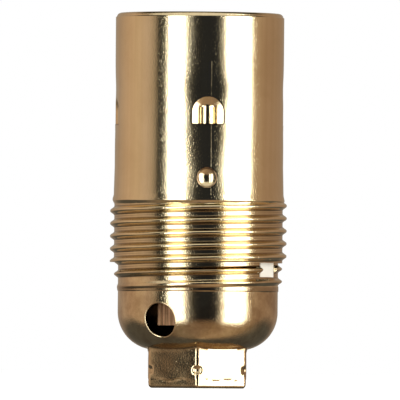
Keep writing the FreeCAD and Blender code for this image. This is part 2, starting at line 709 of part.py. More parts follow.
def terminal(name, half_turn):
    """Brass angle under the base: a foot for the rivet and a hanging tab for the wire."""
    body = new_body(name)
    face = -s.strip_face
    back = face + s.strip_wall
    low = s.notch_foot - s.strip_wall
    bend = s.strip_wall + s.gap
    outline = [
        (face, s.strip_foot),
        (back, s.strip_foot),
        (back, low - s.gap),
        (back + s.gap, low, -s.gap),
        (face + s.strip_reach, low),
        (face + s.strip_reach, s.notch_foot),
        (face + bend, s.notch_foot),
        (face, s.notch_foot - bend, bend),
    ]
    sketch = new_sketch(body, name + "_outline", "YZ_Plane", [outline], lift=s.strip_side)
    add(body, "Pad", name + "_angle", sketch, Length=s.strip_width, Midplane=True)
    hole = [(s.strip_side, -s.rivet_back, s.rivet_shank + s.fit_play)]
    hole_sketch = new_sketch(body, name + "_rivet_hole_outline", "XY_Plane", circles=hole, lift=s.notch_foot)
    cut(body, "Pocket", name + "_rivet_hole", hole_sketch, Length=s.strip_wall * 2)
    screw = [(s.screw_side, s.screw_level, s.screw_shank + s.fit_play)]
    screw_sketch = new_sketch(body, name + "_screw_hole_outline", "XZ_Plane", circles=screw,
                              lift=s.strip_face)
    cut(body, "Pocket", name + "_screw_hole", screw_sketch, Length=s.strip_wall * 2)
    turn_round(body, half_turn)
    return body


def saddle_plate(body, plane, x, y, lift, turn=0):
    """Square clamp washer with a hole for its screw."""
    half = s.saddle_size / 2
    sketch = new_sketch(body, body.Label + "_outline", plane, [box(x - half, y - half, x + half, y + half)],
                        [(x, y, s.screw_shank + s.fit_play)], lift=lift, turn=turn)
    add(body, "Pad", body.Label + "_plate", sketch, Length=s.saddle_wall)


def screw_solid(body, plane, x, y, lift, length, turn=0):
    """Cheese-head screw: lift is where its head sits, and the shank goes the other way."""
    name = body.Label
    shank_sketch = new_sketch(body, name + "_shank_outline", plane, circles=[(x, y, s.screw_shank)],
                              lift=lift, turn=turn)
    add(body, "Pad", name + "_shank", shank_sketch, Length=length + s.saddle_wall, Reversed=True)
    head_sketch = new_sketch(body, name + "_head_outline", plane, circles=[(x, y, s.screw_head)],
                             lift=lift, turn=turn)
    add(body, "Pad", name + "_head", head_sketch, Length=s.screw_rise)
    half = s.slot_width / 2
    slot = box(x - s.screw_head * 2, y - half, x + s.screw_head * 2, y + half)
    slot_sketch = new_sketch(body, name + "_slot_outline", plane, [slot], lift=lift + s.screw_rise, turn=turn)
    cut(body, "Pocket", name + "_slot", slot_sketch, Length=s.slot_depth)


def wire_saddle(name, half_turn):
    body = new_body(name)
    saddle_plate(body, "XZ_Plane", s.screw_side, s.screw_level, s.strip_face)
    turn_round(body, half_turn)
    return body


def wire_screw(name, half_turn):
    body = new_body(name)
    screw_solid(body, "XZ_Plane", s.screw_side, s.screw_level, s.strip_face + s.saddle_wall, s.screw_length)
    turn_round(body, half_turn)
    return body


def rivet(name, side, back, top):
    """Rivet through a terminal's foot, the porcelain and the contacts."""
    body = new_body(name)
    low = s.notch_foot - s.strip_wall
    bevel = s.rivet_rise / 2
    spin(body, "Revolution", name + "_turned", [
        (0, low - s.rivet_rise),
        (s.rivet_head - bevel, low - s.rivet_rise),
        (s.rivet_head, low - bevel),
        (s.rivet_head, low),
        (s.rivet_shank, low),
        (s.rivet_shank, top),
        (s.rivet_head, top),
        (s.rivet_head, top + bevel),
        (s.rivet_head - bevel, top + s.rivet_rise),
        (0, top + s.rivet_rise),
    ])
    body.Placement.Base = Vector(side.value, back.value, 0)
    bind(body, "Placement.Base.x", side)
    bind(body, "Placement.Base.y", back)
    return body


def earth_bracket():
    """Strip that follows the cap's wall, with a shelf for the earth screw."""
    body = new_body("earth_bracket")
    outer = s.cap_root - s.cap_wall - s.fit_play
    turn = s.earth_turn - 90
    back_sketch = new_sketch(body, "earth_back_outline", "XZ_Plane",
                             [box(outer - s.earth_wall, s.earth_foot, outer, s.earth_foot + s.earth_rise)],
                             turn=turn)
    add(body, "Revolution", "earth_back", back_sketch, ReferenceAxis=(back_sketch, ["V_Axis"]),
        Angle=s.earth_span, Midplane=True)
    half = s.saddle_size / 2
    shelf_end = outer - s.earth_wall / 2
    shelf_sketch = new_sketch(body, "earth_shelf_outline", "XY_Plane",
                              [box(shelf_end - s.earth_reach, -half, shelf_end, half)],
                              [(s.earth_screw_place, 0, s.screw_shank + s.fit_play)],
                              lift=s.earth_foot, turn=turn)
    add(body, "Pad", "earth_shelf", shelf_sketch, Length=s.earth_wall)
    return body


def earth_saddle():
    body = new_body("earth_saddle")
    saddle_plate(body, "XY_Plane", s.earth_screw_place, 0, s.earth_foot + s.earth_wall,
                 s.earth_turn - 90)
    return body


def earth_screw():
    body = new_body("earth_screw")
    screw_solid(body, "XY_Plane", s.earth_screw_place, 0,
                s.earth_foot + s.earth_wall + s.saddle_wall, s.earth_screw_length, s.earth_turn - 90)
    return body


def build():
    contact_top = s.base_top + s.contact_wall
    parts = [
        mantle(),
        cap(),
        neck_nut(),
        lamp_liner(),
        contact_base(),
        centre_contact(),
        backing_spring(),
        side_contact(),
        rivet("line_rivet", s.strip_side, -s.rivet_back, contact_top + s.spring_wall),
        rivet("neutral_rivet", -s.strip_side, s.rivet_back, contact_top),
        earth_bracket(),
        earth_saddle(),
        earth_screw(),
    ]
    for side, half_turn in (("line", False), ("neutral", True)):
        parts.append(terminal(side + "_terminal", half_turn))
        parts.append(wire_saddle(side + "_saddle", half_turn))
        parts.append(wire_screw(side + "_screw", half_turn))
    return parts


def check(parts):
    """Stop before anything is written if a step of the model failed."""
    doc.recompute()
    for item in doc.Objects:
        if "Invalid" in item.State or "Error" in item.State:
            raise ValueError(f"{item.Label} failed: {item.State}")
    for part in parts:
        if part.Shape.isNull() or not part.Shape.isValid():
            raise ValueError(f"{part.Label} is not a valid solid")


def write(parts):
    os.makedirs("parts", exist_ok=True)
    for part in parts:
        part.Shape.exportStep(f"parts/{part.Label}.step")
        box_size = part.Shape.BoundBox
        print(f"{part.Label}: {len(part.Shape.Solids)} solid, {part.Shape.Volume:.1f} mm3, "
              f"z {box_size.ZMin:.2f} to {box_size.ZMax:.2f}")


pieces = build()
check(pieces)
write(pieces)
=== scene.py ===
import json
import math

import bpy
import numpy as np
from mathutils import Matrix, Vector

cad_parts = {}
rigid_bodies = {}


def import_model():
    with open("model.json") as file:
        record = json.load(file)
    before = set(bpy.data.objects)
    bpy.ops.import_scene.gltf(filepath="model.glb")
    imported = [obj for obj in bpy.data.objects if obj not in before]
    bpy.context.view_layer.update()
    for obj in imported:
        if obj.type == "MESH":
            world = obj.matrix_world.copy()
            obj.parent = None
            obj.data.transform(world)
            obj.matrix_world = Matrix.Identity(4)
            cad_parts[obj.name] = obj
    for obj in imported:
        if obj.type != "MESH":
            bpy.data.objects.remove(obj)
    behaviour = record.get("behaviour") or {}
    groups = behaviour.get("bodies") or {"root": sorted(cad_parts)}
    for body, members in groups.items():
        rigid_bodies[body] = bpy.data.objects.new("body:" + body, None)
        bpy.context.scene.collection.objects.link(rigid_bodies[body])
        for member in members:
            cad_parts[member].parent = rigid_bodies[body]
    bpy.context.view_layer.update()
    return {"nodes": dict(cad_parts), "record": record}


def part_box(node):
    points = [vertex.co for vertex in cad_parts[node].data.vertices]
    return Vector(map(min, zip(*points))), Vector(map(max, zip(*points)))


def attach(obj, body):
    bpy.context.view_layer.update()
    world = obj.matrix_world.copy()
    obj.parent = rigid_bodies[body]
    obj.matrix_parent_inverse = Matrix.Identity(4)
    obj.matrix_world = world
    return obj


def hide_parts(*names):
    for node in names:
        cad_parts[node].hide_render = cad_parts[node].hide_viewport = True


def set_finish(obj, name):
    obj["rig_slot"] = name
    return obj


# Looks for the brass lamp holder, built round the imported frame.
# Shapes are in millimetres until buildMesh, which writes metres.
# A turn is an azimuth in degrees: 0 at the front, -Y, and 90 at +X.

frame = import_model()
metre = 0.001
print("frame loaded")


def boxOf(node):
    # lowest and highest corner of a CAD node, in millimetres
    return [np.array(corner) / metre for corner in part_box(node)]


mantleLow, mantleHigh = boxOf("mantle")
capHigh = boxOf("cap")[1]
linerLow, linerHigh = boxOf("lamp_liner")
nutLow, nutHigh = boxOf("neck_nut")

rolledThread = {
    "pitch": 2.0,
    "phase": 19.0,      # height of a ridge's middle at +X
    "height": 0.65,
    "base": 1.4,
    "crest": 0.2,
    "plainStart": -2,   # turns before the ridge's first, so that it doesn't fade in
    "footLine": 0.12, "footInset": 0.06,    # painted shade and dirt along a ridge's foot: its reach and place
    "rootLine": 0.09, "rootDark": 0.75,     # painted shade and dirt down the middle of the root: its reach and share
}


def smooth(x):
    # 0 below 0, 1 above 1, and x*x*(3 - 2x) between
    x = np.clip(x, 0, 1)
    return x * x * (3 - 2 * x)


def spread(*spans):
    # rows from (start, end, count) spans, each span without its last value but the final one
    parts = [np.linspace(a, b, n, endpoint=False) for a, b, n in spans]
    return np.append(np.concatenate(parts), spans[-1][1])


def turnsRound(step, spots):
    # azimuths from 0 to 360 every step degrees, closer together round each (turn, reach, step) spot
    turns = np.arange(0, 360, step)
    for turn, reach, fine in spots:
        away = np.abs((turns - turn + 180) % 360 - 180) > reach + fine / 2
        count = int(round(2 * reach / fine)) + 1
        turns = np.concatenate([turns[away], (turn + np.linspace(-reach, reach, count)) % 360])
    turns = np.unique(np.round(turns, 4))
    return turns[np.append(np.diff(turns) > 0.05, True)]


def onRound(radius, turns, heights):
    # point at (radius sin a, -radius cos a, height)
    angle = np.radians(turns)
    radius, angle, heights = np.broadcast_arrays(radius, angle, heights)
    return np.stack([radius * np.sin(angle), -radius * np.cos(angle), heights], axis=-1)


def buildMesh(name, points, faces, sharp=38, dirtAndShade=None):
    # Quads on flat point arrays, unused points dropped, shaded smooth below the sharp angle.
    # the dirt-and-shade mask, if given, is the painted shade and dirt at each point, kept as an attribute.
    points = points.reshape(-1, 3)
    faces = faces.reshape(-1, 4)
    used, index = np.unique(faces, return_inverse=True)
    index = index.reshape(-1)
    mesh = bpy.data.meshes.new(name)
    mesh.vertices.add(len(used))
    mesh.vertices.foreach_set("co", (points[used] * metre).ravel())
    mesh.loops.add(len(index))
    mesh.loops.foreach_set("vertex_index", index)
    mesh.polygons.add(len(faces))
    mesh.polygons.foreach_set("loop_start", np.arange(0, len(index), 4))
    mesh.polygons.foreach_set("use_smooth", np.ones(len(faces), bool))
    mesh.update(calc_edges=True)
    mesh.validate()
    mesh.set_sharp_from_angle(angle=math.radians(sharp))
    if dirtAndShade is not None:
        layer = mesh.attributes.new("dirtAndShade", "FLOAT", "POINT")
        layer.data.foreach_set("value", dirtAndShade.reshape(-1)[used].astype(np.float32))
    piece = bpy.data.objects.new(name, mesh)
    bpy.context.scene.collection.objects.link(piece)
    return piece


def ringFaces(rows, columns, closed):
    # quads of a grid that closes round its columns, and over its rows when closed
    count = rows if closed else rows - 1
    low = np.arange(count)[:, None]
    high = (low + 1) % rows
    left = np.arange(columns)[None, :]
    right = (left + 1) % columns
    return np.stack([low * columns + left, low * columns + right, high * columns + right,
                     high * columns + left], axis=-1)


def turnedRing(name, points, sharp=38, dirtAndShade=None):
    # a closed section carried round Z: points is (rows, columns, 3), rows run round the section
    return buildMesh(name, points, ringFaces(*points.shape[:2], True), sharp, dirtAndShade)


def sheetShell(name, outer, inner, keep, sharp=38, dirtAndShade=None):
    # a sheet between two grids of one layout, open where keep is False, with every edge closed
    rows, columns = outer.shape[:2]
    faces = ringFaces(rows, columns, False)
    skin = faces[keep]
    lining = skin[:, ::-1] + rows * columns
    full = np.zeros((rows + 1, columns), bool)
    full[1:rows] = keep
    below, above = full[:-1], full[1:]
    number = np.arange(rows * columns).reshape(rows, columns)
    nextNumber = np.roll(number, -1, axis=1)
    back = rows * columns

    def strip(chosen, start, end):
        a, b = start[chosen], end[chosen]
        return np.stack([a, b, b + back, a + back], axis=-1)

    edges = [strip(above & ~below, nextNumber, number), strip(below & ~above, number, nextNumber)]
    left = np.roll(keep, 1, axis=1)
    edges += [strip(keep & ~left, number[:-1], number[1:]), strip(left & ~keep, number[1:], number[:-1])]
    points = np.concatenate([outer.reshape(-1, 3), inner.reshape(-1, 3)])
    if dirtAndShade is not None:
        # the lining, inside the sheet, is painted dark all over as shade
        dirtAndShade = np.concatenate([dirtAndShade.reshape(-1), 0 * dirtAndShade.reshape(-1) + 0.9])
    return buildMesh(name, points, np.concatenate([skin, lining, *edges]), sharp, dirtAndShade)


def ridgeHeight(turns, heights, phase, start, stop, fade, base, crest, height):
    # Height of a right-handed helical ridge: its middle climbs one pitch a turn from phase at +X.
    # The section is a trapezoid with softened corners, and it fades in after start and out by stop, in turns.
    pitch = rolledThread["pitch"]
    middle = phase + pitch * (turns - 90) / 360
    offset = (heights - middle + pitch / 2) % pitch - pitch / 2
    along = (heights - offset - phase) / pitch
    flank = np.clip((base / 2 - np.abs(offset)) / (base / 2 - crest / 2), 0, 1)
    strength = smooth((along - start) / fade) * smooth((stop - along) / fade)
    return height * (0.2 * flank + 0.8 * smooth(flank)) * strength


def grooveShadeAndDirt(turns, heights, phase):
    # Painted shade and dirt in the thread's hollows, 0 to 1: thin dark lines along each ridge's two feet and
    # down the middle of the root
    t = rolledThread
    pitch = t["pitch"]
    offset = np.abs((heights - phase - pitch * (turns - 90) / 360 + pitch / 2) % pitch - pitch / 2)
    foot = np.exp(-((offset - t["base"] / 2 + t["footInset"]) / t["footLine"]) ** 2)
    middle = np.exp(-((offset - pitch / 2) / t["rootLine"]) ** 2)
    return np.clip(foot + t["rootDark"] * middle, 0, 1)


def sideways(turns, turn, radius):
    # distance along the wall's chord from the line at an azimuth, and whether it is on that side
    away = np.radians((turns - turn + 180) % 360 - 180)
    return radius * np.sin(away), np.cos(away) > 0


# the upper shell
mantle = {
    "wall": 0.3,
    "root": 13.35,
    "lipFoot": 29.1, "lipTop": 29.7, "lipRadius": 13.65,
    "flareFoot": 30.6, "flareRadius": 13.46,
    "flareTop": 41.0, "sleeveRadius": 13.2,
    "rimBend": 0.7,
    "ridgeStop": 5.8, "ridgeFade": 0.65,
    "nibTurns": [6.0, 96.0, 186.0, 276.0],
    "nibFoot": 41.7, "nibRise": 4.3, "nibHalf": 2.5, "nibDepth": 1.2, "wallSlope": 0.62, "lidSlope": 0.5,
    "lidBow": 0.12, "basinDepth": 0.66,
    "tongueHalf": 1.4, "tongueTop": 2.95, "nibBow": 1.62,
    "tongueBow": 0.1, "tongueSide": 0.12, "tongueEnd": 0.14,
    # where the sheet is drawn in round a nib: middle above its foot, reach up, reach across, depth
    "nibPull": [(5.4, 2.4, 2.6, 0.17), (-1.2, 1.3, 3.4, 0.04)],
    "dimpleTurns": [5.4, 185.4],
    "dimpleLevel": 33.2, "dimpleRadius": 1.56, "dimpleBall": 2.0, "dimpleBand": (31.2, 35.3),
    "dimpleSwell": 0.1, "swellAbove": 0.8, "swellAcross": 2.3, "swellUp": 3.2,
    "ridgeEnd": 30.9, "ridgeEndFade": 1.0,
    # the furrow inside is narrower than the ridge by the sheet
    "furrowStop": 5.25, "furrowFade": 0.3, "furrowBase": 0.98, "furrowCrest": 0.1,
    "plainSleeve": 50,      # above this height the sleeve needs few rows
    "nibSlit": 0.02, "nibLead": 0.4, "nibTall": 4.5,        # rows close in at the sheared foot of a nib
    # painted shade: strength of a dark ring inside each dimple's edge and of a painted shadow under each
    # nib's sheared foot, then for each its place inside the edge and reach
    "edgeShade": 1.3, "dimpleShade": (0.05, 0.16), "nibShadow": (0.06, 0.1),    # place inside the edge, reach
    "sharpAngle": 42,
}


def mantleBase(heights):
    # radius of the plain sheet: straight root, lip, cone and straight sleeve
    m = mantle
    return np.interp(heights, [m["lipFoot"], m["lipTop"], m["flareFoot"], m["flareTop"]],
                     [m["root"], m["lipRadius"], m["flareRadius"], m["sleeveRadius"]])


def nibPress(turns, heights):
    # Depth of the lanced nibs. Straight walls slope in from an arched outline and a flatter lid comes
    # down from its top; the least of the two and the basin is the depth. Below the lid a tongue stands
    # in the basin, bowed outwards as a circle's arc, and all of it stops dead at the sheared foot.
    m = mantle
    depth = 0
    bow = m["nibBow"]
    for turn in m["nibTurns"]:
        x, near = sideways(turns, turn, m["sleeveRadius"])
        z = heights - m["nibFoot"]
        shoulder = m["nibRise"] - m["nibHalf"]
        inset = m["nibHalf"] - np.hypot(x, np.maximum(z - shoulder, 0))
        lid = m["lidSlope"] * (m["nibRise"] - m["lidBow"] * x ** 2 - z)
        basin = np.minimum(np.minimum(m["wallSlope"] * inset, lid), m["basinDepth"])
        half = m["tongueHalf"]
        arc = np.sqrt(bow ** 2 - np.minimum(np.abs(x), half) ** 2) - math.sqrt(bow ** 2 - half ** 2)
        tongue = m["nibDepth"] - arc
        share = smooth((half + m["tongueSide"] / 2 - np.abs(x)) / m["tongueSide"])
        share = share * smooth((m["tongueTop"] - m["tongueBow"] * x ** 2 - z) / m["tongueEnd"])
        pressed = basin + (tongue - basin) * share
        depth = depth + np.where(near & (z > 0) & (inset > 0), np.maximum(pressed, 0), 0)
        # the sheet round the nib is drawn in a little with it
        pull = 0
        for middle, reachUp, reachAcross, deep in m["nibPull"]:
            pull = pull + np.exp(-(x / reachAcross) ** 2) * np.exp(-((z - middle) / reachUp) ** 2) * deep
        depth = depth + np.where(near, pull, 0)
    return depth


def dimplePress(turns, heights):
    # Depth of the round dimples: a shallow dish, a cap of a sphere that meets the sheet at a soft edge
    m = mantle
    depth = 0
    ball, edge = m["dimpleBall"], m["dimpleRadius"]
    for turn in m["dimpleTurns"]:
        x, near = sideways(turns, turn, m["flareRadius"])
        away = np.minimum(np.hypot(x, heights - m["dimpleLevel"]), edge)
        dish = np.sqrt(ball ** 2 - away ** 2) - math.sqrt(ball ** 2 - edge ** 2)
        # the sheet swells a little round the dish
        rise = heights - m["dimpleLevel"] - m["swellAbove"]
        swell = np.exp(-(x / m["swellAcross"]) ** 2) * np.exp(-(rise / m["swellUp"]) ** 2) * m["dimpleSwell"]
        depth = depth + np.where(near, dish - swell, 0)
    return depth


def makeMantle():
    # A section carried round Z: outside radius is the greater of the plain sheet and root + ridge, less
    # what the nibs and dimples press in; inside it is one sheet less, with the furrow added; the rim joins
    # the two by quarter arcs, centre + bend * (cos a, sin a).
    m, t = mantle, rolledThread
    foot, top = mantleLow[2], mantleHigh[2]
    turns = turnsRound(1.6, [(turn, 11.2, 0.42) for turn in m["nibTurns"]])[None, :]
    nib, slit, tall = m["nibFoot"], m["nibSlit"], m["nibTall"]
    bend = top - m["rimBend"]
    # outside, from the foot to the bend
    low, high = m["dimpleBand"]
    plain = m["plainSleeve"]
    before = nib - m["nibLead"]
    z = spread((foot, m["lipFoot"], 76), (m["lipFoot"], m["lipTop"], 5), (m["lipTop"], m["flareFoot"], 6),
               (m["flareFoot"], low, 3), (low, high, 20), (high, before, 6), (before, nib - slit, 2),
               (nib - slit, nib + slit, 1), (nib + slit, nib + tall, 32), (nib + tall, plain, 8),
               (plain, bend, 6))[:, None]
    swell = ridgeHeight(turns, z, t["phase"], t["plainStart"], m["ridgeStop"], m["ridgeFade"],
                        t["base"], t["crest"], t["height"])
    swell = swell * smooth((m["ridgeEnd"] - z) / m["ridgeEndFade"])
    # the ridge runs into the lip, so the greater of the two is the sheet there
    sheet = np.maximum(mantleBase(z) + 0 * turns, m["root"] + swell)
    radius = sheet - nibPress(turns, z) - dimplePress(turns, z)
    outside = onRound(radius, turns, z)
    # painted shade and dirt in the thread's hollows, a painted dark ring just inside each dimple's edge, and
    # a painted shadow along each nib's sheared foot
    marks = grooveShadeAndDirt(turns, z, t["phase"]) * (z < m["lipFoot"])
    inset, reach = m["dimpleShade"]
    for turn in m["dimpleTurns"]:
        x, near = sideways(turns, turn, m["flareRadius"])
        away = np.hypot(x, z - m["dimpleLevel"]) - m["dimpleRadius"]
        marks = np.maximum(marks, near * np.exp(-((away + inset) / reach) ** 2) * m["edgeShade"])
    inset, reach = m["nibShadow"]
    for turn in m["nibTurns"]:
        x, near = sideways(turns, turn, m["sleeveRadius"])
        sheared = (np.abs(x) < m["nibHalf"]) * np.exp(-((z - nib + inset) / reach) ** 2)
        marks = np.maximum(marks, near * sheared * m["edgeShade"])
    # over the rim: a quarter arc outside, the sheared edge, and the arc one sheet further in
    angle = np.radians(np.linspace(0, 90, 9)[1:, None])
    centre = m["sleeveRadius"] - m["rimBend"]
    over = onRound(centre + m["rimBend"] * np.cos(angle), turns, bend + m["rimBend"] * np.sin(angle))
    inner = m["rimBend"] - m["wall"]
    angle = angle[::-1]
    under = onRound(centre + inner * np.cos(angle), turns, bend + inner * np.sin(angle))
    # inside, from the bend to the foot
    within = nib - m["wall"]
    z = spread((bend, nib + tall, 5), (nib + tall, within + slit, 13), (within + slit, within - slit, 1),
               (within - slit, high, 4), (high, low, 10), (low, m["flareFoot"], 1),
               (m["flareFoot"], m["lipTop"], 1), (m["lipTop"], m["lipFoot"], 2),
               (m["lipFoot"], foot, 32))[:, None]
    furrow = ridgeHeight(turns, z, t["phase"], t["plainStart"], m["furrowStop"], m["furrowFade"],
                         m["furrowBase"], m["furrowCrest"], t["height"]) * (z < m["lipFoot"])
    pressed = nibPress(turns, z + m["wall"]) + dimplePress(turns, z)
    inside = onRound(mantleBase(z) - m["wall"] + furrow - pressed, turns, z)
    rows = np.concatenate([outside, over, under, inside])
    dirtAndShade = np.zeros(rows.shape[:2])
    dirtAndShade[:len(marks)] = marks
    piece = turnedRing("mantle_shell", rows, m["sharpAngle"], dirtAndShade)
    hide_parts("mantle")
    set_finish(piece, "polished_brass")
    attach(piece, "mantle")
    print("upper shell:", len(piece.data.polygons), "faces")


# the lower shell
cap = {
    "wall": 0.3,
    "root": 12.68,
    "ridgePhase": 17.0, "ridgeStart": -0.62, "ridgeFade": 0.62, "ridgeTrim": 0.1,
    "domeBend": 6.0, "neckHeight": 6.05,
    "neckFlats": 15.4, "neckEdge": 0.6, "entryRadius": 5.2, "pillow": 0.08,
    "stakeLevel": 2.85, "stakeHalf": 0.85, "stakeWide": 0.78, "stakeDepth": 0.36,
    "holeTurn": -29.0, "holeLevel": 10.75, "holeRadius": 2.75, "beadRadius": 0.14,
    "markFoot": 15.3, "markHeight": 0.85, "bandRise": 0.09,
    "notchTurns": [60.0, 240.0], "notchHalf": 2.2, "notchFoot": 17.65, "notchReach": 0.35,
    "cornerRound": 0.05, "stakeSoft": 0.45,
    "wave": 0.012,                                          # hand-made unevenness of the neck's sides
    "creaseLevel": 1.25, "creaseHalf": 0.17, "creaseWave": 0.12, "creaseDepth": 0.13,
    "sweep": 0.2, "sweepStart": 0.84, "sweepShare": 0.16,   # where the neck turns out into the dome
    "bandFoot": 0.12, "bandTop": 0.4, "bandOver": 0.3, "bandDark": 0.5,
    "bodyFoot": 15.2, "bodyRows": 20.4, "grooveShadeFoot": 17.2, "grooveShadeFade": 0.4, "ridgeStop": 9,
    "sharpAngle": 42,
}


def hexRadius(turns, apothem, corner):
    # Polar radius of a hexagon with a corner at the front: apothem / cos along a side,
    # and the far side of a circle of the corner's radius near each corner.
    away = np.radians((turns + 30) % 60 - 30)
    side = apothem / np.cos(np.radians(30) - np.abs(away))
    reach = (apothem - corner) / math.cos(math.radians(30))
    edge = math.atan2(corner / 2, reach + corner * math.cos(math.radians(30)))
    bow = reach * np.cos(away) + np.sqrt(np.maximum(corner ** 2 - (reach * np.sin(away)) ** 2, 0))
    return np.where(np.abs(away) < edge, bow, side)


def capSurface(turns, inset):
    # One side of the lower shell: floor, foot edge, neck, dome and threaded body, inset from the outside.
    # The dome is an arc from the height where the neck meets it to the straight body.
    c, t = cap, rolledThread
    edge = c["neckEdge"] - inset
    apothem = c["neckFlats"] / 2 - c["neckEdge"]
    shape = []

    def row(radius, height):
        radius, height = np.broadcast_arrays(radius, height)
        shape.append((radius, height))

    corner = c["cornerRound"]
    floorEdge = hexRadius(turns, apothem, corner)
    for share in np.linspace(0, 1, 5):
        row(c["entryRadius"] + (floorEdge - c["entryRadius"]) * share, inset + 0 * turns)
    for angle in np.radians(np.linspace(0, 90, 7)[1:]):
        reach = edge * math.sin(angle)
        foot = c["neckEdge"] - edge * math.cos(angle)
        row(hexRadius(turns, apothem + reach, corner + reach), foot + 0 * turns)
    neck = hexRadius(turns, apothem + edge, corner + edge)
    bend = c["domeBend"] - inset
    centre = c["root"] - c["domeBend"]
    level = c["neckHeight"] + c["domeBend"]
    meet = level - np.sqrt(bend ** 2 - (neck - centre) ** 2)
    away = np.radians((turns + 30) % 60 - 30)
    across = neck * np.sin(away)
    for share in spread((0, 0.2, 6), (0.2, 0.66, 18), (0.66, 1, 8))[1:]:
        z = c["neckEdge"] + (meet - c["neckEdge"]) * share
        wedge = np.clip(1 - np.abs(z - c["stakeLevel"]) / c["stakeHalf"], 0, 1)
        press = c["stakeDepth"] * smooth(wedge * 1.1)
        press = press * smooth((c["stakeWide"] - np.abs(across)) / c["stakeSoft"])
        side = np.abs(np.abs(away) / math.radians(30) - 1) * neck / neck.max()
        belly = c["pillow"] * (1 - abs(2 * share - 1) ** 5) * (1 - side ** 7)
        wave = np.sin(np.radians(turns * 9.0) + 1.0 + 3 * share) * math.sin(7 * share + 0.5)
        belly = belly + c["wave"] * wave * (1 - side ** 4)
        # the sheet is creased above its foot and swept out where it turns into the dome
        line = c["creaseLevel"] + c["creaseWave"] * np.sin(np.radians(turns * 12))
        crease = np.exp(-((z - line) / c["creaseHalf"]) ** 2)
        out = c["sweep"] * smooth((share - c["sweepStart"]) / c["sweepShare"]) ** 2
        row(neck - press + belly - c["creaseDepth"] * crease * (1 - side ** 6) + out, z)
    first = np.arcsin((neck - centre) / bend)
    for share in np.linspace(0, 1, 27)[1:]:
        angle = first + (math.pi / 2 - first) * share
        row(centre + bend * np.sin(angle), level - bend * np.cos(angle))
    for z in spread((level, c["bodyFoot"], 6), (c["bodyFoot"], c["notchFoot"], 24),
                    (c["notchFoot"], c["bodyRows"], 26), (c["bodyRows"], capHigh[2], 25))[1:]:
        swell = 0
        if inset == 0:
            swell = ridgeHeight(turns, z + 0 * turns, c["ridgePhase"], c["ridgeStart"], c["ridgeStop"],
                                c["ridgeFade"], t["base"] - c["ridgeTrim"], t["crest"] - c["ridgeTrim"],
                                t["height"])
            above = z - c["markFoot"]
            fall = smooth((c["markHeight"] + c["bandOver"] - above) / c["bandTop"])
            swell = swell + c["bandRise"] * smooth(above / c["bandFoot"]) * fall
        row(c["root"] - inset + swell, z + 0 * turns)
    radius = np.array([pair[0] for pair in shape])
    height = np.array([pair[1] for pair in shape])
    return onRound(radius, turns[None, :], height)


def boundary(keep):
    # points of a grid that touch both kept and dropped faces
    touching = np.zeros((2, keep.shape[0] + 1, keep.shape[1]), bool)
    for index, chosen in enumerate((keep, ~keep)):
        for side in (chosen, np.roll(chosen, 1, axis=1)):
            touching[index, :-1] |= side
            touching[index, 1:] |= side
    return touching[0] & touching[1]


def openings(points, inset):
    # Which faces of the lower shell stay, with the points on each opening's edge moved onto its outline:
    # a circle seen along the hole's axis, and the straight sides of the notches.
    c = cap
    angle = math.radians(c["holeTurn"])
    out = np.array([math.sin(angle), -math.cos(angle), 0])
    side = np.array([math.cos(angle), math.sin(angle), 0])
    centres = (points[:-1] + points[1:]) / 2
    centres = (centres + np.roll(centres, -1, axis=1)) / 2
    x, z = centres @ side, centres[..., 2] - c["holeLevel"]
    keep = ~((np.hypot(x, z) < c["holeRadius"]) & (centres @ out > 0))
    edge = boundary(keep)
    x, z = points[edge] @ side, points[edge][:, 2] - c["holeLevel"]
    scale = c["holeRadius"] / np.hypot(x, z)
    x, z = x * scale, z * scale + c["holeLevel"]
    bend = c["domeBend"] - inset
    level = c["neckHeight"] + c["domeBend"]
    radius = c["root"] - c["domeBend"] + np.sqrt(bend ** 2 - np.minimum(z - level, 0) ** 2)
    depth = np.sqrt(radius ** 2 - x ** 2)
    points[edge] = x[:, None] * side + depth[:, None] * out + np.array([0, 0, 1]) * z[:, None]
    for turn in c["notchTurns"]:
        angle = math.radians(turn)
        out = np.array([math.sin(angle), -math.cos(angle), 0])
        side = np.array([math.cos(angle), math.sin(angle), 0])
        cut = (np.abs(centres @ side) < c["notchHalf"]) & (centres @ out > 0)
        cut &= centres[..., 2] > c["notchFoot"]
        keep &= ~cut
        edge = boundary(~cut)
        x = points @ side
        edge &= np.abs(x) > c["notchHalf"] - c["notchReach"]
        near = points[edge]
        radius = np.hypot(near[:, 0], near[:, 1])
        x = np.sign(x[edge]) * c["notchHalf"]
        depth = np.sqrt(radius ** 2 - x ** 2)
        points[edge] = x[:, None] * side + depth[:, None] * out + np.array([0, 0, 1]) * near[:, 2:]
    return keep


def makeCap():
    # Two sides of one sheet, the second inset by the wall, with the hole and the notches left open
    c = cap
    corners = [(turn, 4.2, 0.6) for turn in range(0, 360, 60)]
    sides = math.degrees(math.asin(c["notchHalf"] / c["root"]))
    notches = [(turn + side, 0.6, 0.6) for turn in c["notchTurns"] for side in (-sides, sides)]
    turns = turnsRound(1.4, [(c["holeTurn"] % 360, 13.8, 0.6), *corners, *notches])
    outer = capSurface(turns, 0.0)
    inner = capSurface(turns, c["wall"])
    angles = np.broadcast_to(turns, outer.shape[:2])
    # painted shade and dirt in the thread's hollows above a foot height, and a darker band above the mark's
    # foot
    dirtAndShade = grooveShadeAndDirt(angles, outer[..., 2], c["ridgePhase"])
    dirtAndShade = dirtAndShade * smooth((outer[..., 2] - c["grooveShadeFoot"]) / c["grooveShadeFade"])
    low = (outer[..., 2] - c["markFoot"]) / c["bandFoot"]
    dirtAndShade = np.maximum(dirtAndShade, c["bandDark"] * smooth(low) * smooth(c["markHeight"] / c["bandFoot"] - low))
    keep = openings(outer, 0.0)
    openings(inner, c["wall"])
    piece = sheetShell("cap_shell", outer, inner, keep, c["sharpAngle"], dirtAndShade)
    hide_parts("cap")
    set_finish(piece, "polished_brass")
    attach(piece, "base")
    print("lower shell:", len(piece.data.polygons), "faces")
    makeHoleRim()


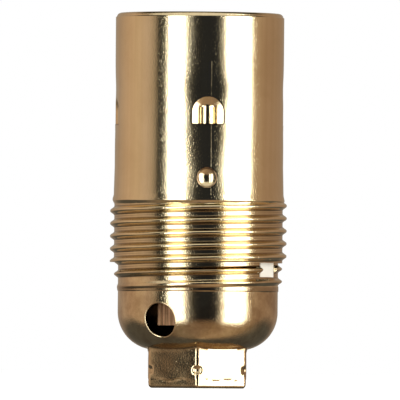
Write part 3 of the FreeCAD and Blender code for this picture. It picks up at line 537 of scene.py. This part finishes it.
def makeHoleRim():
    # The burr rolled over round the side hole: a thin round bead that follows the circle over the dome
    c = cap
    angle = math.radians(c["holeTurn"])
    out = np.array([math.sin(angle), -math.cos(angle), 0])
    side = np.array([math.cos(angle), math.sin(angle), 0])
    up = np.array([0, 0, 1])
    around = np.linspace(0, 2 * math.pi, 120, endpoint=False)
    x, rise = c["holeRadius"] * np.cos(around), c["holeRadius"] * np.sin(around)
    level = c["neckHeight"] + c["domeBend"] - c["holeLevel"]
    bend = c["domeBend"]
    radius = c["root"] - bend + np.sqrt(bend ** 2 - np.minimum(rise - level, 0) ** 2)
    middle = np.sqrt(radius ** 2 - x ** 2) - 0.6 * c["beadRadius"]
    away = np.cos(around)[:, None] * side + np.sin(around)[:, None] * up
    path = x[:, None] * side + rise[:, None] * up + middle[:, None] * out + c["holeLevel"] * up
    turn = np.linspace(0, 2 * math.pi, 16, endpoint=False)[None, :, None]
    ring = path[:, None] + c["beadRadius"] * (np.cos(turn) * away[:, None] + np.sin(turn) * out)
    piece = turnedRing("hole_rim", ring[:, ::-1], 60)
    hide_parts("cap")
    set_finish(piece, "polished_brass")
    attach(piece, "base")


# the porcelain liner
liner = {
    "bore": 6.9, "threadPitch": 2.822, "threadRise": 0.62, "threadFoot": 33.0, "threadTop": 56.6,
    "chamber": 9.0, "chamberTop": 32.0, "foot": 24.9,
    "skirt": 11.86, "collarFoot": 35.2, "collarLow": 12.74, "collarHigh": 12.6, "collarTop": 41.4,
    "threadFade": 1.4, "threadTopFade": 1.2,
    "neck": 11.2, "legHalf": 2.2, "legInner": 9.9, "legOuter": 11.5, "legTurns": [150.0, 330.0],
    "legPower": 0.16, "legRound": 0.35, "legFlat": 0.5, "legTop": [3.0, 7.3, 7.35],
}


def softSection(corners, steps=5):
    # closed outline: each (radius, height, round) corner becomes a quadratic bend of that length
    spots = np.array([corner[:2] for corner in corners], float)
    bends = np.array([corner[2] for corner in corners], float)
    before, after = np.roll(spots, 1, axis=0), np.roll(spots, -1, axis=0)
    start = spots + (before - spots) / np.linalg.norm(before - spots, axis=1)[:, None] * bends[:, None]
    end = spots + (after - spots) / np.linalg.norm(after - spots, axis=1)[:, None] * bends[:, None]
    share = np.linspace(0, 1, steps)[None, :, None]
    curve = (1 - share) ** 2 * start[:, None] + 2 * share * (1 - share) * spots[:, None]
    curve = curve + share ** 2 * end[:, None]
    return curve.reshape(-1, 2)


def refine(section, start, end, step):
    # more rows on the runs of a closed section between two heights
    rows = []
    for here, there in zip(section, np.roll(section, -1, axis=0)):
        inside = min(here[1], there[1]) >= start - 0.01 and max(here[1], there[1]) <= end + 0.01
        count = max(int(abs(there[1] - here[1]) / step), 1) if inside else 1
        share = np.arange(count)[:, None] / count
        rows.append(here + (there - here) * share)
    return np.concatenate(rows)


def makeLiner():
    # A closed section carried round Z; the bore's radius is less by half the rise * (1 + cos of the phase)
    p = liner
    top = linerHigh[2]
    section = softSection([
        (p["chamber"], p["foot"], 0.2), (p["skirt"], p["foot"], 0.3), (p["skirt"], p["collarFoot"], 0.25),
        (p["collarLow"], p["collarFoot"], 0.4), (p["collarHigh"], p["collarTop"], 0.5),
        (p["neck"], p["collarTop"], 0.4), (p["neck"], top, 0.6), (p["bore"], top, 1.3),
        (p["bore"], p["chamberTop"], 0.5), (p["chamber"], p["chamberTop"], 0.4)])
    section = refine(section, p["chamberTop"], top, 0.2)
    radius, z = section[:, :1], section[:, 1:]
    turns = np.arange(0, 360, 1.8)[None, :]
    # the lamp's thread, moulded as a rounded wave that climbs one pitch a turn
    phase = 2 * math.pi * (z / p["threadPitch"] - turns / 360)
    fade = smooth((z - p["threadFoot"]) / p["threadFade"])
    fade = fade * smooth((p["threadTop"] - z) / p["threadTopFade"])
    wave = p["threadRise"] * (0.5 + 0.5 * np.cos(phase)) * fade * (radius < p["bore"] + 0.05)
    piece = turnedRing("lamp_liner_porcelain", onRound(radius - wave, turns, z + 0 * turns), 50)
    legs = makeLegs()
    for item in (piece, legs):
        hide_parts("lamp_liner")
        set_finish(item, "porcelain")
        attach(item, "liner")
    print("porcelain liner:", len(piece.data.polygons), "faces")


def makeLegs():
    # Two upright bars: a superellipse's outline carried up, drawn in at its foot by a quarter circle
    p = liner
    around = np.radians(np.arange(0, 360, 7.5) + 3.75)
    depthHalf = (p["legOuter"] - p["legInner"]) / 2
    middle = (p["legOuter"] + p["legInner"]) / 2
    x = np.sign(np.cos(around)) * np.abs(np.cos(around)) ** p["legPower"]
    y = np.sign(np.sin(around)) * np.abs(np.sin(around)) ** p["legPower"]
    bow = np.radians(np.linspace(90, 0, 6))
    draw = np.concatenate([[p["legFlat"]], p["legRound"] * (1 - np.cos(bow)), [0, 0, p["legRound"]]])
    lift = np.concatenate([[0], p["legRound"] * (1 - np.sin(bow)), p["legTop"]])
    low = linerLow[2]
    rows, columns = len(lift), len(x)
    # each end is closed by quads that join a point to its mirror across the bar
    near = np.arange(columns // 2 - 1)
    top = np.stack([near, near + 1, columns - 2 - near, columns - 1 - near], axis=-1)
    skin = ringFaces(rows, columns, False).reshape(-1, 4)
    bar = np.concatenate([skin, top[:, ::-1], top + (rows - 1) * columns])
    points, faces = [], []
    for turn in p["legTurns"]:
        angle = math.radians(turn)
        out = np.array([math.sin(angle), -math.cos(angle), 0])
        side = np.array([math.cos(angle), math.sin(angle), 0])
        wide = (p["legHalf"] - draw)[:, None] * x
        deep = middle + (depthHalf - draw)[:, None] * y
        height = np.array([0, 0, 1]) * (low + lift)[:, None, None]
        grid = wide[..., None] * side + deep[..., None] * out + height
        faces.append(bar + len(points) * rows * columns)
        points.append(grid[:, ::-1].reshape(-1, 3))
    return buildMesh("lamp_liner_legs", np.concatenate(points), np.concatenate(faces), 50)


# the nut in the neck
nut = {"flats": 14.6, "bore": 4.5, "threadPitch": 1.0, "threadDepth": 0.48, "lead": 0.5,
       "coneSlope": 0.55, "coneOut": 0.12, "coneReach": 2.0, "corner": 0.06}


def makeNut():
    # Hexagon cut by a bevel cone at its top, round a bore whose groove goes outwards as a triangle wave
    low, high = nutLow[2], nutHigh[2]
    turns = np.arange(0, 360, 1.0)[None, :]
    hexagon = hexRadius(turns, nut["flats"] / 2, nut["corner"])
    bevel = high - nut["coneReach"]
    side = spread((low, bevel, 3), (bevel, high, 12))[:, None]
    cone = nut["flats"] / 2 + (high - side) * nut["coneSlope"] + nut["coneOut"]
    outside = onRound(np.minimum(hexagon, cone), turns, side)
    z = spread((high, low, 66))[:, None]
    wave = np.abs(((z / nut["threadPitch"] - turns / 360) % 1) * 2 - 1)
    lead = np.maximum(nut["lead"] - np.minimum(z - low, high - z), 0)
    radius = nut["bore"] + np.maximum(nut["threadDepth"] * smooth(wave), lead)
    inside = onRound(radius, turns, z)
    piece = turnedRing("neck_nut_tapped", np.concatenate([outside, inside]), 30)
    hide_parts("neck_nut")
    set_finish(piece, "nut_brass")
    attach(piece, "base")
    print("nut:", len(piece.data.polygons), "faces")


def nodeMaker(tree):
    # add(kind, inputs..., settings...) puts a node down; an input is a value or another node's socket
    def add(kind, inputs=None, **settings):
        node = tree.nodes.new(kind)
        for key, value in settings.items():
            setattr(node, key, value)
        for key, value in (inputs or {}).items():
            socket = node.inputs[key]
            if isinstance(value, bpy.types.NodeSocket):
                tree.links.new(value, socket)
            else:
                socket.default_value = value
        return node
    return add


def colorMix(tree, factor, first, second):
    # a colour between two, each a value or a socket (a colour mix's inputs are 0, 6 and 7, its output 2)
    node = tree.nodes.new("ShaderNodeMix")
    node.data_type = "RGBA"
    for socket, value in ((node.inputs[0], factor), (node.inputs[6], first), (node.inputs[7], second)):
        if isinstance(value, bpy.types.NodeSocket):
            tree.links.new(value, socket)
        else:
            socket.default_value = value
    return node.outputs[2]


def newGroup(name, inputs, outputs):
    # an empty node group with float or colour sockets and its input and output nodes
    group = bpy.data.node_groups.new(name, "ShaderNodeTree")
    for label, value in inputs.items():
        kind = "NodeSocketColor" if isinstance(value, tuple) else "NodeSocketFloat"
        socket = group.interface.new_socket(name=label, in_out="INPUT", socket_type=kind)
        socket.default_value = value
    for label, kind in outputs.items():
        group.interface.new_socket(name=label, in_out="OUTPUT", socket_type=kind)
    return group, group.nodes.new("NodeGroupInput").outputs, group.nodes.new("NodeGroupOutput").inputs


def makeGrain():
    # Long fine grain along Z and a little cross noise: a mask from 0 to 1
    group, given, out = newGroup("drawnGrain", {"Across": 900.0, "Along": 40.0, "Detail": 3.0},
                                 {"Mask": "NodeSocketFloat"})
    add = nodeMaker(group)
    place = add("ShaderNodeTexCoord").outputs["Object"]
    scale = add("ShaderNodeCombineXYZ", {0: given["Across"], 1: given["Across"], 2: given["Along"]})
    stretched = add("ShaderNodeVectorMath", {0: place, 1: scale.outputs[0]}, operation="MULTIPLY")
    noise = add("ShaderNodeTexNoise", {"Vector": stretched.outputs[0], "Scale": 1.0,
                                       "Detail": given["Detail"]})
    group.links.new(noise.outputs["Fac"], out["Mask"])
    return group


def makeTarnish():
    # Cloudy stains between two tones, with small dark specks, and the mask that made them
    group, given, out = newGroup(
        "tarnish", {"Clean": (0.9, 0.7, 0.4, 1), "Stained": (0.6, 0.4, 0.2, 1), "Size": 120.0, "Amount": 0.4,
                    "Specks": 0.3}, {"Color": "NodeSocketColor", "Mask": "NodeSocketFloat"})
    add = nodeMaker(group)
    place = add("ShaderNodeTexCoord").outputs["Object"]
    cloud = add("ShaderNodeTexNoise", {"Vector": place, "Scale": given["Size"], "Detail": 5.0,
                                       "Roughness": 0.6, "Distortion": 0.4})
    band = add("ShaderNodeMapRange", {0: cloud.outputs["Fac"], 1: 0.42, 2: 0.68, 3: 0.0, 4: 1.0})
    level = add("ShaderNodeMath", {0: band.outputs[0], 1: given["Amount"]}, operation="MULTIPLY")
    spots = add("ShaderNodeTexNoise", {"Vector": place, "Scale": 1400.0, "Detail": 2.0})
    speck = add("ShaderNodeMapRange", {0: spots.outputs["Fac"], 1: 0.66, 2: 0.72, 3: 0.0, 4: 1.0})
    speckLevel = add("ShaderNodeMath", {0: speck.outputs[0], 1: given["Specks"]}, operation="MULTIPLY")
    both = add("ShaderNodeMath", {0: level.outputs[0], 1: speckLevel.outputs[0]}, operation="MAXIMUM")
    mix = colorMix(group, both.outputs[0], given["Clean"], given["Stained"])
    group.links.new(mix, out["Color"])
    group.links.new(both.outputs[0], out["Mask"])
    return group


drawLine = {"turn": 8.05, "half": 0.1, "rise": 0.012, "low": 30.3, "high": 51.7}
# a browner colour towards the foot between two heights, and the dark colour laid where the dirt-and-shade
# mask marks painted shade and dirt
brownerFoot = {"low": 15.0, "high": 21.0, "color": (0.42, 0.29, 0.16, 1), "dirtAndShade": (0.20, 0.13, 0.07, 1)}


def makeShadeAndDirt():
    # Brass that is browner and duller towards its foot, dark where the dirt-and-shade attribute marks painted
    # shade and dirt, and the height of one fine line left by the drawing die on the front
    group, given, out = newGroup("brassShadeAndDirt", {"Color": (0.8, 0.6, 0.4, 1), "Mask": 0.0},
                                 {"Color": "NodeSocketColor", "Mask": "NodeSocketFloat",
                                  "Line": "NodeSocketFloat"})
    add = nodeMaker(group)
    place = add("ShaderNodeTexCoord").outputs["Object"]
    height = add("ShaderNodeSeparateXYZ", {0: place}).outputs[2]
    foot = add("ShaderNodeMapRange", {0: height, 1: brownerFoot["high"] * metre, 2: brownerFoot["low"] * metre,
                                      3: 0.0, 4: 1.0}).outputs[0]
    cloud = add("ShaderNodeTexNoise", {"Vector": place, "Scale": 260.0, "Detail": 6.0, "Roughness": 0.65})
    patch = add("ShaderNodeMapRange", {0: cloud.outputs["Fac"], 1: 0.38, 2: 0.62, 3: 0.15, 4: 0.75})
    brown = add("ShaderNodeMath", {0: foot, 1: patch.outputs[0]}, operation="MULTIPLY").outputs[0]
    # painted shade and dirt from the mesh attribute darken the colour here
    dirtAndShade = add("ShaderNodeAttribute", attribute_name="dirtAndShade").outputs["Fac"]
    dirtAndShade = add("ShaderNodeMath", {0: dirtAndShade, 1: 0.85}, operation="MULTIPLY").outputs[0]
    tone = colorMix(group, brown, given["Color"], brownerFoot["color"])
    group.links.new(colorMix(group, dirtAndShade, tone, brownerFoot["dirtAndShade"]), out["Color"])
    dullness = add("ShaderNodeMath", {0: given["Mask"], 1: brown}, operation="ADD").outputs[0]
    dullness = add("ShaderNodeMath", {0: dullness, 1: dirtAndShade}, operation="ADD").outputs[0]
    group.links.new(dullness, out["Mask"])
    angle = math.radians(drawLine["turn"])
    across = add("ShaderNodeVectorMath", {0: place, 1: (math.cos(angle), math.sin(angle), 0)},
                 operation="DOT_PRODUCT").outputs["Value"]
    across = add("ShaderNodeMath", {0: across}, operation="ABSOLUTE").outputs[0]
    line = add("ShaderNodeMapRange", {0: across, 1: drawLine["half"] * metre, 2: 0.0,
                                      3: 0.0, 4: 1.0}).outputs[0]
    front = add("ShaderNodeVectorMath", {0: place, 1: (0, -1, 0)}, operation="DOT_PRODUCT").outputs["Value"]
    limits = ((front, 0.0, 0.001), (height, drawLine["low"], drawLine["low"] + 0.2),
              (height, drawLine["high"], drawLine["high"] - 0.2))
    for index, (value, start, end) in enumerate(limits):
        scale = metre if index else 1.0
        gate = add("ShaderNodeMapRange", {0: value, 1: start * scale, 2: end * scale,
                                          3: 0.0, 4: 1.0}).outputs[0]
        line = add("ShaderNodeMath", {0: line, 1: gate}, operation="MULTIPLY").outputs[0]
    group.links.new(line, out["Line"])
    return group


grainGroup = makeGrain()
tarnishGroup = makeTarnish()
shadeAndDirtGroup = makeShadeAndDirt()

metalFinishes = {
    "polished_brass": {
        "clean": (0.87, 0.74, 0.47, 1), "stained": (0.72, 0.58, 0.33, 1), "size": 110.0, "amount": 0.5,
        "specks": 0.15, "rough": 0.03, "roughMore": 0.07, "across": 1100.0, "along": 30.0, "bump": 0.0004,
        "peel": 0.010, "pits": 0.0044},
    "nut_brass": {
        "clean": (0.80, 0.59, 0.30, 1), "stained": (0.55, 0.38, 0.18, 1), "size": 160.0, "amount": 0.5,
        "specks": 0.4, "rough": 0.22, "roughMore": 0.18, "across": 300.0, "along": 2600.0, "bump": 0.004},
    "terminal_brass": {
        "clean": (0.80, 0.47, 0.26, 1), "stained": (0.26, 0.13, 0.06, 1), "size": 420.0, "amount": 0.4,
        "specks": 0.5, "rough": 0.30, "roughMore": 0.2, "across": 2600.0, "along": 120.0, "bump": 0.01,
        "streak": 0.85},
    "bronze": {
        "clean": (0.80, 0.52, 0.33, 1), "stained": (0.50, 0.30, 0.17, 1), "size": 200.0, "amount": 0.4,
        "specks": 0.3, "rough": 0.2, "roughMore": 0.15, "across": 2200.0, "along": 80.0, "bump": 0.004},
    "spring_steel": {
        "clean": (0.52, 0.53, 0.56, 1), "stained": (0.32, 0.31, 0.33, 1), "size": 220.0, "amount": 0.5,
        "specks": 0.3, "rough": 0.3, "roughMore": 0.15, "across": 2400.0, "along": 70.0, "bump": 0.004},
    "plated_steel": {
        "clean": (0.74, 0.75, 0.78, 1), "stained": (0.55, 0.56, 0.62, 1), "size": 320.0, "amount": 0.6,
        "specks": 0.25, "rough": 0.24, "roughMore": 0.2, "across": 900.0, "along": 900.0, "bump": 0.003},
}


metalDefaults = {"streak": 0.25, "peel": 0.004, "grainStrength": 0.35, "peelScale": 5200.0,
                 "pitScale": 5000.0}


def makeMetal(name, finish):
    # Metal with stains, a grain that shows in its gloss and bump, and constants on the shader itself.
    # A finish with pits also takes the browner foot, the painted shade and dirt, and the drawn line.
    finish = {**metalDefaults, **finish}
    takesShade = "pits" in finish
    material = bpy.data.materials.new(name)
    material.use_nodes = True
    tree = material.node_tree
    tree.nodes.clear()
    add = nodeMaker(tree)
    tone = add("ShaderNodeGroup", node_tree=tarnishGroup)
    for label, key in (("Clean", "clean"), ("Stained", "stained"), ("Size", "size"), ("Amount", "amount"),
                       ("Specks", "specks")):
        tone.inputs[label].default_value = finish[key]
    grain = add("ShaderNodeGroup", node_tree=grainGroup)
    grain.inputs["Across"].default_value = finish["across"]
    grain.inputs["Along"].default_value = finish["along"]
    color, mask = tone.outputs["Color"], tone.outputs["Mask"]
    place = add("ShaderNodeTexCoord").outputs["Object"]
    streak = add("ShaderNodeMapRange", {0: grain.outputs["Mask"], 1: 0.4, 2: 0.62, 3: 0.0,
                                        4: finish["streak"]})
    color = colorMix(tree, streak.outputs[0], color, finish["stained"])
    if takesShade:
        darkening = add("ShaderNodeGroup", node_tree=shadeAndDirtGroup, inputs={"Color": color, "Mask": mask})
        color, mask = darkening.outputs["Color"], darkening.outputs["Mask"]
    stainRough = add("ShaderNodeMath", {0: mask, 1: finish["roughMore"], 2: finish["rough"]},
                     operation="MULTIPLY_ADD")
    rough = add("ShaderNodeMath", {0: grain.outputs["Mask"], 1: finish["rough"] * 0.8,
                                   2: stainRough.outputs[0]}, operation="MULTIPLY_ADD")
    bump = add("ShaderNodeBump", {"Strength": finish["grainStrength"], "Height": grain.outputs["Mask"],
                                  "Distance": finish["bump"] * metre * 10})
    peel = add("ShaderNodeTexNoise", {"Vector": place, "Scale": finish["peelScale"], "Detail": 1.0})
    bump = add("ShaderNodeBump", {"Strength": 1.0, "Distance": finish["peel"] * metre,
                                  "Height": peel.outputs["Fac"], "Normal": bump.outputs["Normal"]})
    if takesShade:
        dots = add("ShaderNodeTexNoise", {"Vector": place, "Scale": finish["pitScale"], "Detail": 0.0})
        pits = add("ShaderNodeMapRange", {0: dots.outputs["Fac"], 1: 0.56, 2: 0.72, 3: 1.0, 4: 0.0})
        bump = add("ShaderNodeBump", {"Strength": 1.0, "Distance": finish["pits"] * metre,
                                      "Height": pits.outputs[0], "Normal": bump.outputs["Normal"]})
        calm = add("ShaderNodeMapRange", {0: darkening.outputs["Line"], 1: 0.0, 2: 0.2, 3: 1.0, 4: 0.1})
        tree.links.new(calm.outputs[0], bump.inputs["Strength"])
        bump = add("ShaderNodeBump", {"Strength": 1.0, "Distance": drawLine["rise"] * metre,
                                      "Height": darkening.outputs["Line"], "Normal": bump.outputs["Normal"]})
    shader = add("ShaderNodeBsdfPrincipled", {
        "Base Color": color, "Metallic": 1.0, "Roughness": rough.outputs[0],
        "Normal": bump.outputs["Normal"]})
    add("ShaderNodeOutputMaterial", {"Surface": shader.outputs["BSDF"]})
    return material


porcelainFinish = {"clean": (0.93, 0.885, 0.78, 1), "stained": (0.82, 0.74, 0.60, 1), "rough": 0.16}


def makePorcelain():
    # Glazed body: a warm white with faint clouds and kiln specks under a clear coat
    material = bpy.data.materials.new("porcelain")
    material.use_nodes = True
    tree = material.node_tree
    tree.nodes.clear()
    add = nodeMaker(tree)
    tone = add("ShaderNodeGroup", node_tree=tarnishGroup)
    for label, value in (("Clean", porcelainFinish["clean"]), ("Stained", porcelainFinish["stained"]),
                         ("Size", 180.0), ("Amount", 0.35), ("Specks", 0.5)):
        tone.inputs[label].default_value = value
    place = add("ShaderNodeTexCoord").outputs["Object"]
    ripple = add("ShaderNodeTexNoise", {"Vector": place, "Scale": 260.0, "Detail": 2.0})
    bump = add("ShaderNodeBump", {"Strength": 0.2, "Distance": 0.00006, "Height": ripple.outputs["Fac"]})
    rough = add("ShaderNodeMath", {0: tone.outputs["Mask"], 1: 0.15, 2: porcelainFinish["rough"]},
                operation="MULTIPLY_ADD")
    shader = add("ShaderNodeBsdfPrincipled", {
        "Base Color": tone.outputs["Color"], "Roughness": rough.outputs[0], "Normal": bump.outputs["Normal"],
        "Coat Weight": 0.4, "Coat Roughness": 0.06, "Subsurface Weight": 0.04,
        "Subsurface Radius": (0.002, 0.0016, 0.001)})
    add("ShaderNodeOutputMaterial", {"Surface": shader.outputs["BSDF"]})
    return material


finishes = {name: makeMetal(name, finish) for name, finish in metalFinishes.items()}
finishes["porcelain"] = makePorcelain()
print("finishes made")

makeMantle()
makeCap()
makeLiner()
makeNut()

slotOfNode = {part["node"]: part["material_slot"] for part in frame["record"]["subparts"]}
for node, item in frame["nodes"].items():
    item.data.materials.clear()
    item.data.materials.append(finishes[slotOfNode[node]])
for item in bpy.data.objects:
    if item.type == "MESH" and item.get("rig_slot"):
        item.data.materials.append(finishes[item["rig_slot"]])
print("finishes placed")


# the studio
studio = {
    "floorHalf": 4.0, "floorGlow": 0.14,
    "floorColor": (0.93, 0.93, 0.92, 1),
    "cameraAway": 2.1, "cameraLevel": 0.0035, "aim": 0.02983, "sideShift": 0.00022,
    "roll": 0.49, "frameWide": 0.0634,
    # what polished metal sees round the horizon: (azimuth from the front, colour)
    "surround": [
        (-180, (0.34, 0.29, 0.23)), (-145, (0.41, 0.31, 0.25)), (-114, (0.565, 0.405, 0.31)),
        (-94, (0.60, 0.45, 0.34)), (-76, (0.55, 0.42, 0.35)), (-64, (0.36, 0.29, 0.23)),
        (-58.5, (0.035, 0.035, 0.035)), (-51, (0.07, 0.07, 0.065)), (-46, (0.4, 0.4, 0.38)),
        (-41, (4.2, 4.2, 4.2)), (-22, (4.2, 4.2, 4.2)), (-17, (0.8, 0.8, 0.8)),
        (-12, (0.20, 0.19, 0.18)), (-7, (0.045, 0.045, 0.045)), (3, (0.020, 0.022, 0.027)),
        (20, (0.020, 0.022, 0.027)), (27, (0.05, 0.05, 0.05)), (31.5, (0.28, 0.27, 0.25)),
        (37, (1.6, 1.6, 1.6)), (41, (5.0, 5.0, 5.0)), (73, (5.0, 5.0, 5.0)), (77.5, (0.9, 0.80, 0.70)),
        (82, (0.47, 0.35, 0.26)), (102, (0.367, 0.248, 0.182)), (150, (0.34, 0.24, 0.18)),
        (180, (0.34, 0.29, 0.23))],
    # what it sees below the horizon, on the bench
    "bench": [
        (-180, (0.09, 0.085, 0.075)), (-95, (0.09, 0.08, 0.075)), (-70, (0.20, 0.145, 0.105)),
        (-40, (0.25, 0.19, 0.14)), (0, (0.30, 0.21, 0.155)), (30, (0.36, 0.25, 0.165)),
        (52, (0.46, 0.33, 0.24)), (74, (0.45, 0.33, 0.23)), (89, (0.40, 0.29, 0.20)),
        (103, (0.20, 0.16, 0.13)), (120, (0.10, 0.095, 0.09)), (180, (0.09, 0.085, 0.075))],
    "ceiling": (0.85, 0.80, 0.74, 1), "rear": (0.03, 0.026, 0.022, 1),
    "fill": 0.95,
}


def makeWorld():
    # White for the camera, an even fill for matt surfaces, and for gloss a ring of soft boxes and dark
    # flags by azimuth, with a dark bench below and a pale ceiling above
    world = bpy.data.worlds.new("studio")
    bpy.context.scene.world = world
    world.use_nodes = True
    tree = world.node_tree
    tree.nodes.clear()
    add = nodeMaker(tree)
    way = add("ShaderNodeTexCoord").outputs["Generated"]
    part = add("ShaderNodeSeparateXYZ", {0: way}).outputs
    back = add("ShaderNodeMath", {0: part[1], 1: -1.0}, operation="MULTIPLY").outputs[0]
    angle = add("ShaderNodeMath", {0: part[0], 1: back}, operation="ARCTAN2").outputs[0]
    share = add("ShaderNodeMath", {0: angle, 1: 0.5 / math.pi, 2: 0.5}, operation="MULTIPLY_ADD").outputs[0]

    def ringOf(stops):
        node = add("ShaderNodeValToRGB", {"Fac": share})
        ramp = node.color_ramp
        for place, color in stops[1:-1]:
            ramp.elements.new(place / 360 + 0.5)
        for element, (place, color) in zip(ramp.elements, stops):
            element.position = place / 360 + 0.5
            element.color = (*color, 1)
        return node.outputs["Color"]

    def between(value, start, end):
        return add("ShaderNodeMapRange", {0: value, 1: start, 2: end, 3: 0.0, 4: 1.0},
                   interpolation_type="SMOOTHSTEP").outputs[0]

    behind = between(part[1], -0.1, 0.45)
    slope = add("ShaderNodeMath", {0: behind, 1: -0.28, 2: part[2]}, operation="MULTIPLY_ADD").outputs[0]
    level = colorMix(tree, between(slope, -0.30, -0.64), ringOf(studio["surround"]), ringOf(studio["bench"]))
    top = colorMix(tree, between(part[1], -0.15, 0.25), studio["ceiling"], studio["rear"])
    seen = colorMix(tree, between(part[2], 0.55, 0.75), level, top)
    path = add("ShaderNodeLightPath").outputs
    fill = studio["fill"]
    color = colorMix(tree, path["Is Glossy Ray"], (fill, fill, fill * 0.985, 1), seen)
    color = colorMix(tree, path["Is Transmission Ray"], color, (1, 1, 1, 1))
    color = colorMix(tree, path["Is Camera Ray"], color, (1, 1, 1, 1))
    sky = add("ShaderNodeBackground", {"Color": color, "Strength": 1.0})
    add("ShaderNodeOutputWorld", {"Surface": sky.outputs[0]})


def makeFloor():
    # A matt plane that glows a little for the camera alone, so that it is white but for the shadow
    half = studio["floorHalf"]
    mesh = bpy.data.meshes.new("floor")
    mesh.from_pydata([(-half, -half, 0), (half, -half, 0), (half, half, 0), (-half, half, 0)], [],
                     [(0, 1, 2, 3)])
    floor = bpy.data.objects.new("floor", mesh)
    bpy.context.scene.collection.objects.link(floor)
    material = bpy.data.materials.new("paleFloor")
    material.use_nodes = True
    tree = material.node_tree
    tree.nodes.clear()
    add = nodeMaker(tree)
    matt = add("ShaderNodeBsdfDiffuse", {"Color": studio["floorColor"]})
    glow = add("ShaderNodeEmission", {"Color": (1, 1, 1, 1), "Strength": studio["floorGlow"]})
    lit = add("ShaderNodeAddShader")
    tree.links.new(matt.outputs[0], lit.inputs[0])
    tree.links.new(glow.outputs[0], lit.inputs[1])
    path = add("ShaderNodeLightPath").outputs
    pick = add("ShaderNodeMixShader", {0: path["Is Camera Ray"]})
    tree.links.new(matt.outputs[0], pick.inputs[1])
    tree.links.new(lit.outputs[0], pick.inputs[2])
    add("ShaderNodeOutputMaterial", {"Surface": pick.outputs[0]})
    mesh.materials.append(material)
    floor.visible_glossy = False


lamps = {
    "keyLamp": {"at": (-0.9, -1.2, 1.1), "size": 0.8, "watts": 9.0},
    "fillLamp": {"at": (1.3, -0.6, 0.7), "size": 0.9, "watts": 5.0},
}
lampAim = (0, 0, 0.03)


def makeLamps():
    # Square area lamps, each turned to look at the object's middle
    for name, lamp in lamps.items():
        data = bpy.data.lights.new(name, "AREA")
        data.size = lamp["size"]
        data.energy = lamp["watts"]
        item = bpy.data.objects.new(name, data)
        item.location = lamp["at"]
        x, y, z = np.array(lampAim) - np.array(lamp["at"])
        item.rotation_euler = (math.atan2(math.hypot(x, y), -z), 0, math.atan2(y, x) - math.pi / 2)
        item.visible_glossy = False
        bpy.context.scene.collection.objects.link(item)


def makeCamera():
    # A long lens far off, a little above the foot's level, framed by the width that it sees at the object
    s = studio
    data = bpy.data.cameras.new("camera")
    data.sensor_width = 36
    data.lens = 36 * s["cameraAway"] / s["frameWide"]
    data.clip_end = 20
    camera = bpy.data.objects.new("camera", data)
    bpy.context.scene.collection.objects.link(camera)
    camera.location = (s["sideShift"], -s["cameraAway"], s["cameraLevel"])
    tilt = math.atan2(s["aim"] - s["cameraLevel"], s["cameraAway"])
    camera.rotation_mode = "XYZ"
    camera.rotation_euler = cameraTurn(tilt, math.radians(s["roll"]))
    bpy.context.scene.camera = camera


def cameraTurn(tilt, roll):
    # level gaze along +Y, lifted by tilt, after a roll about the gaze
    upright = Matrix.Rotation(math.pi / 2 + tilt, 3, "X") @ Matrix.Rotation(roll, 3, "Z")
    return upright.to_euler("XYZ")


makeWorld()
makeFloor()
makeLamps()
makeCamera()
bpy.context.scene.view_settings.view_transform = "Standard"
print("studio ready")
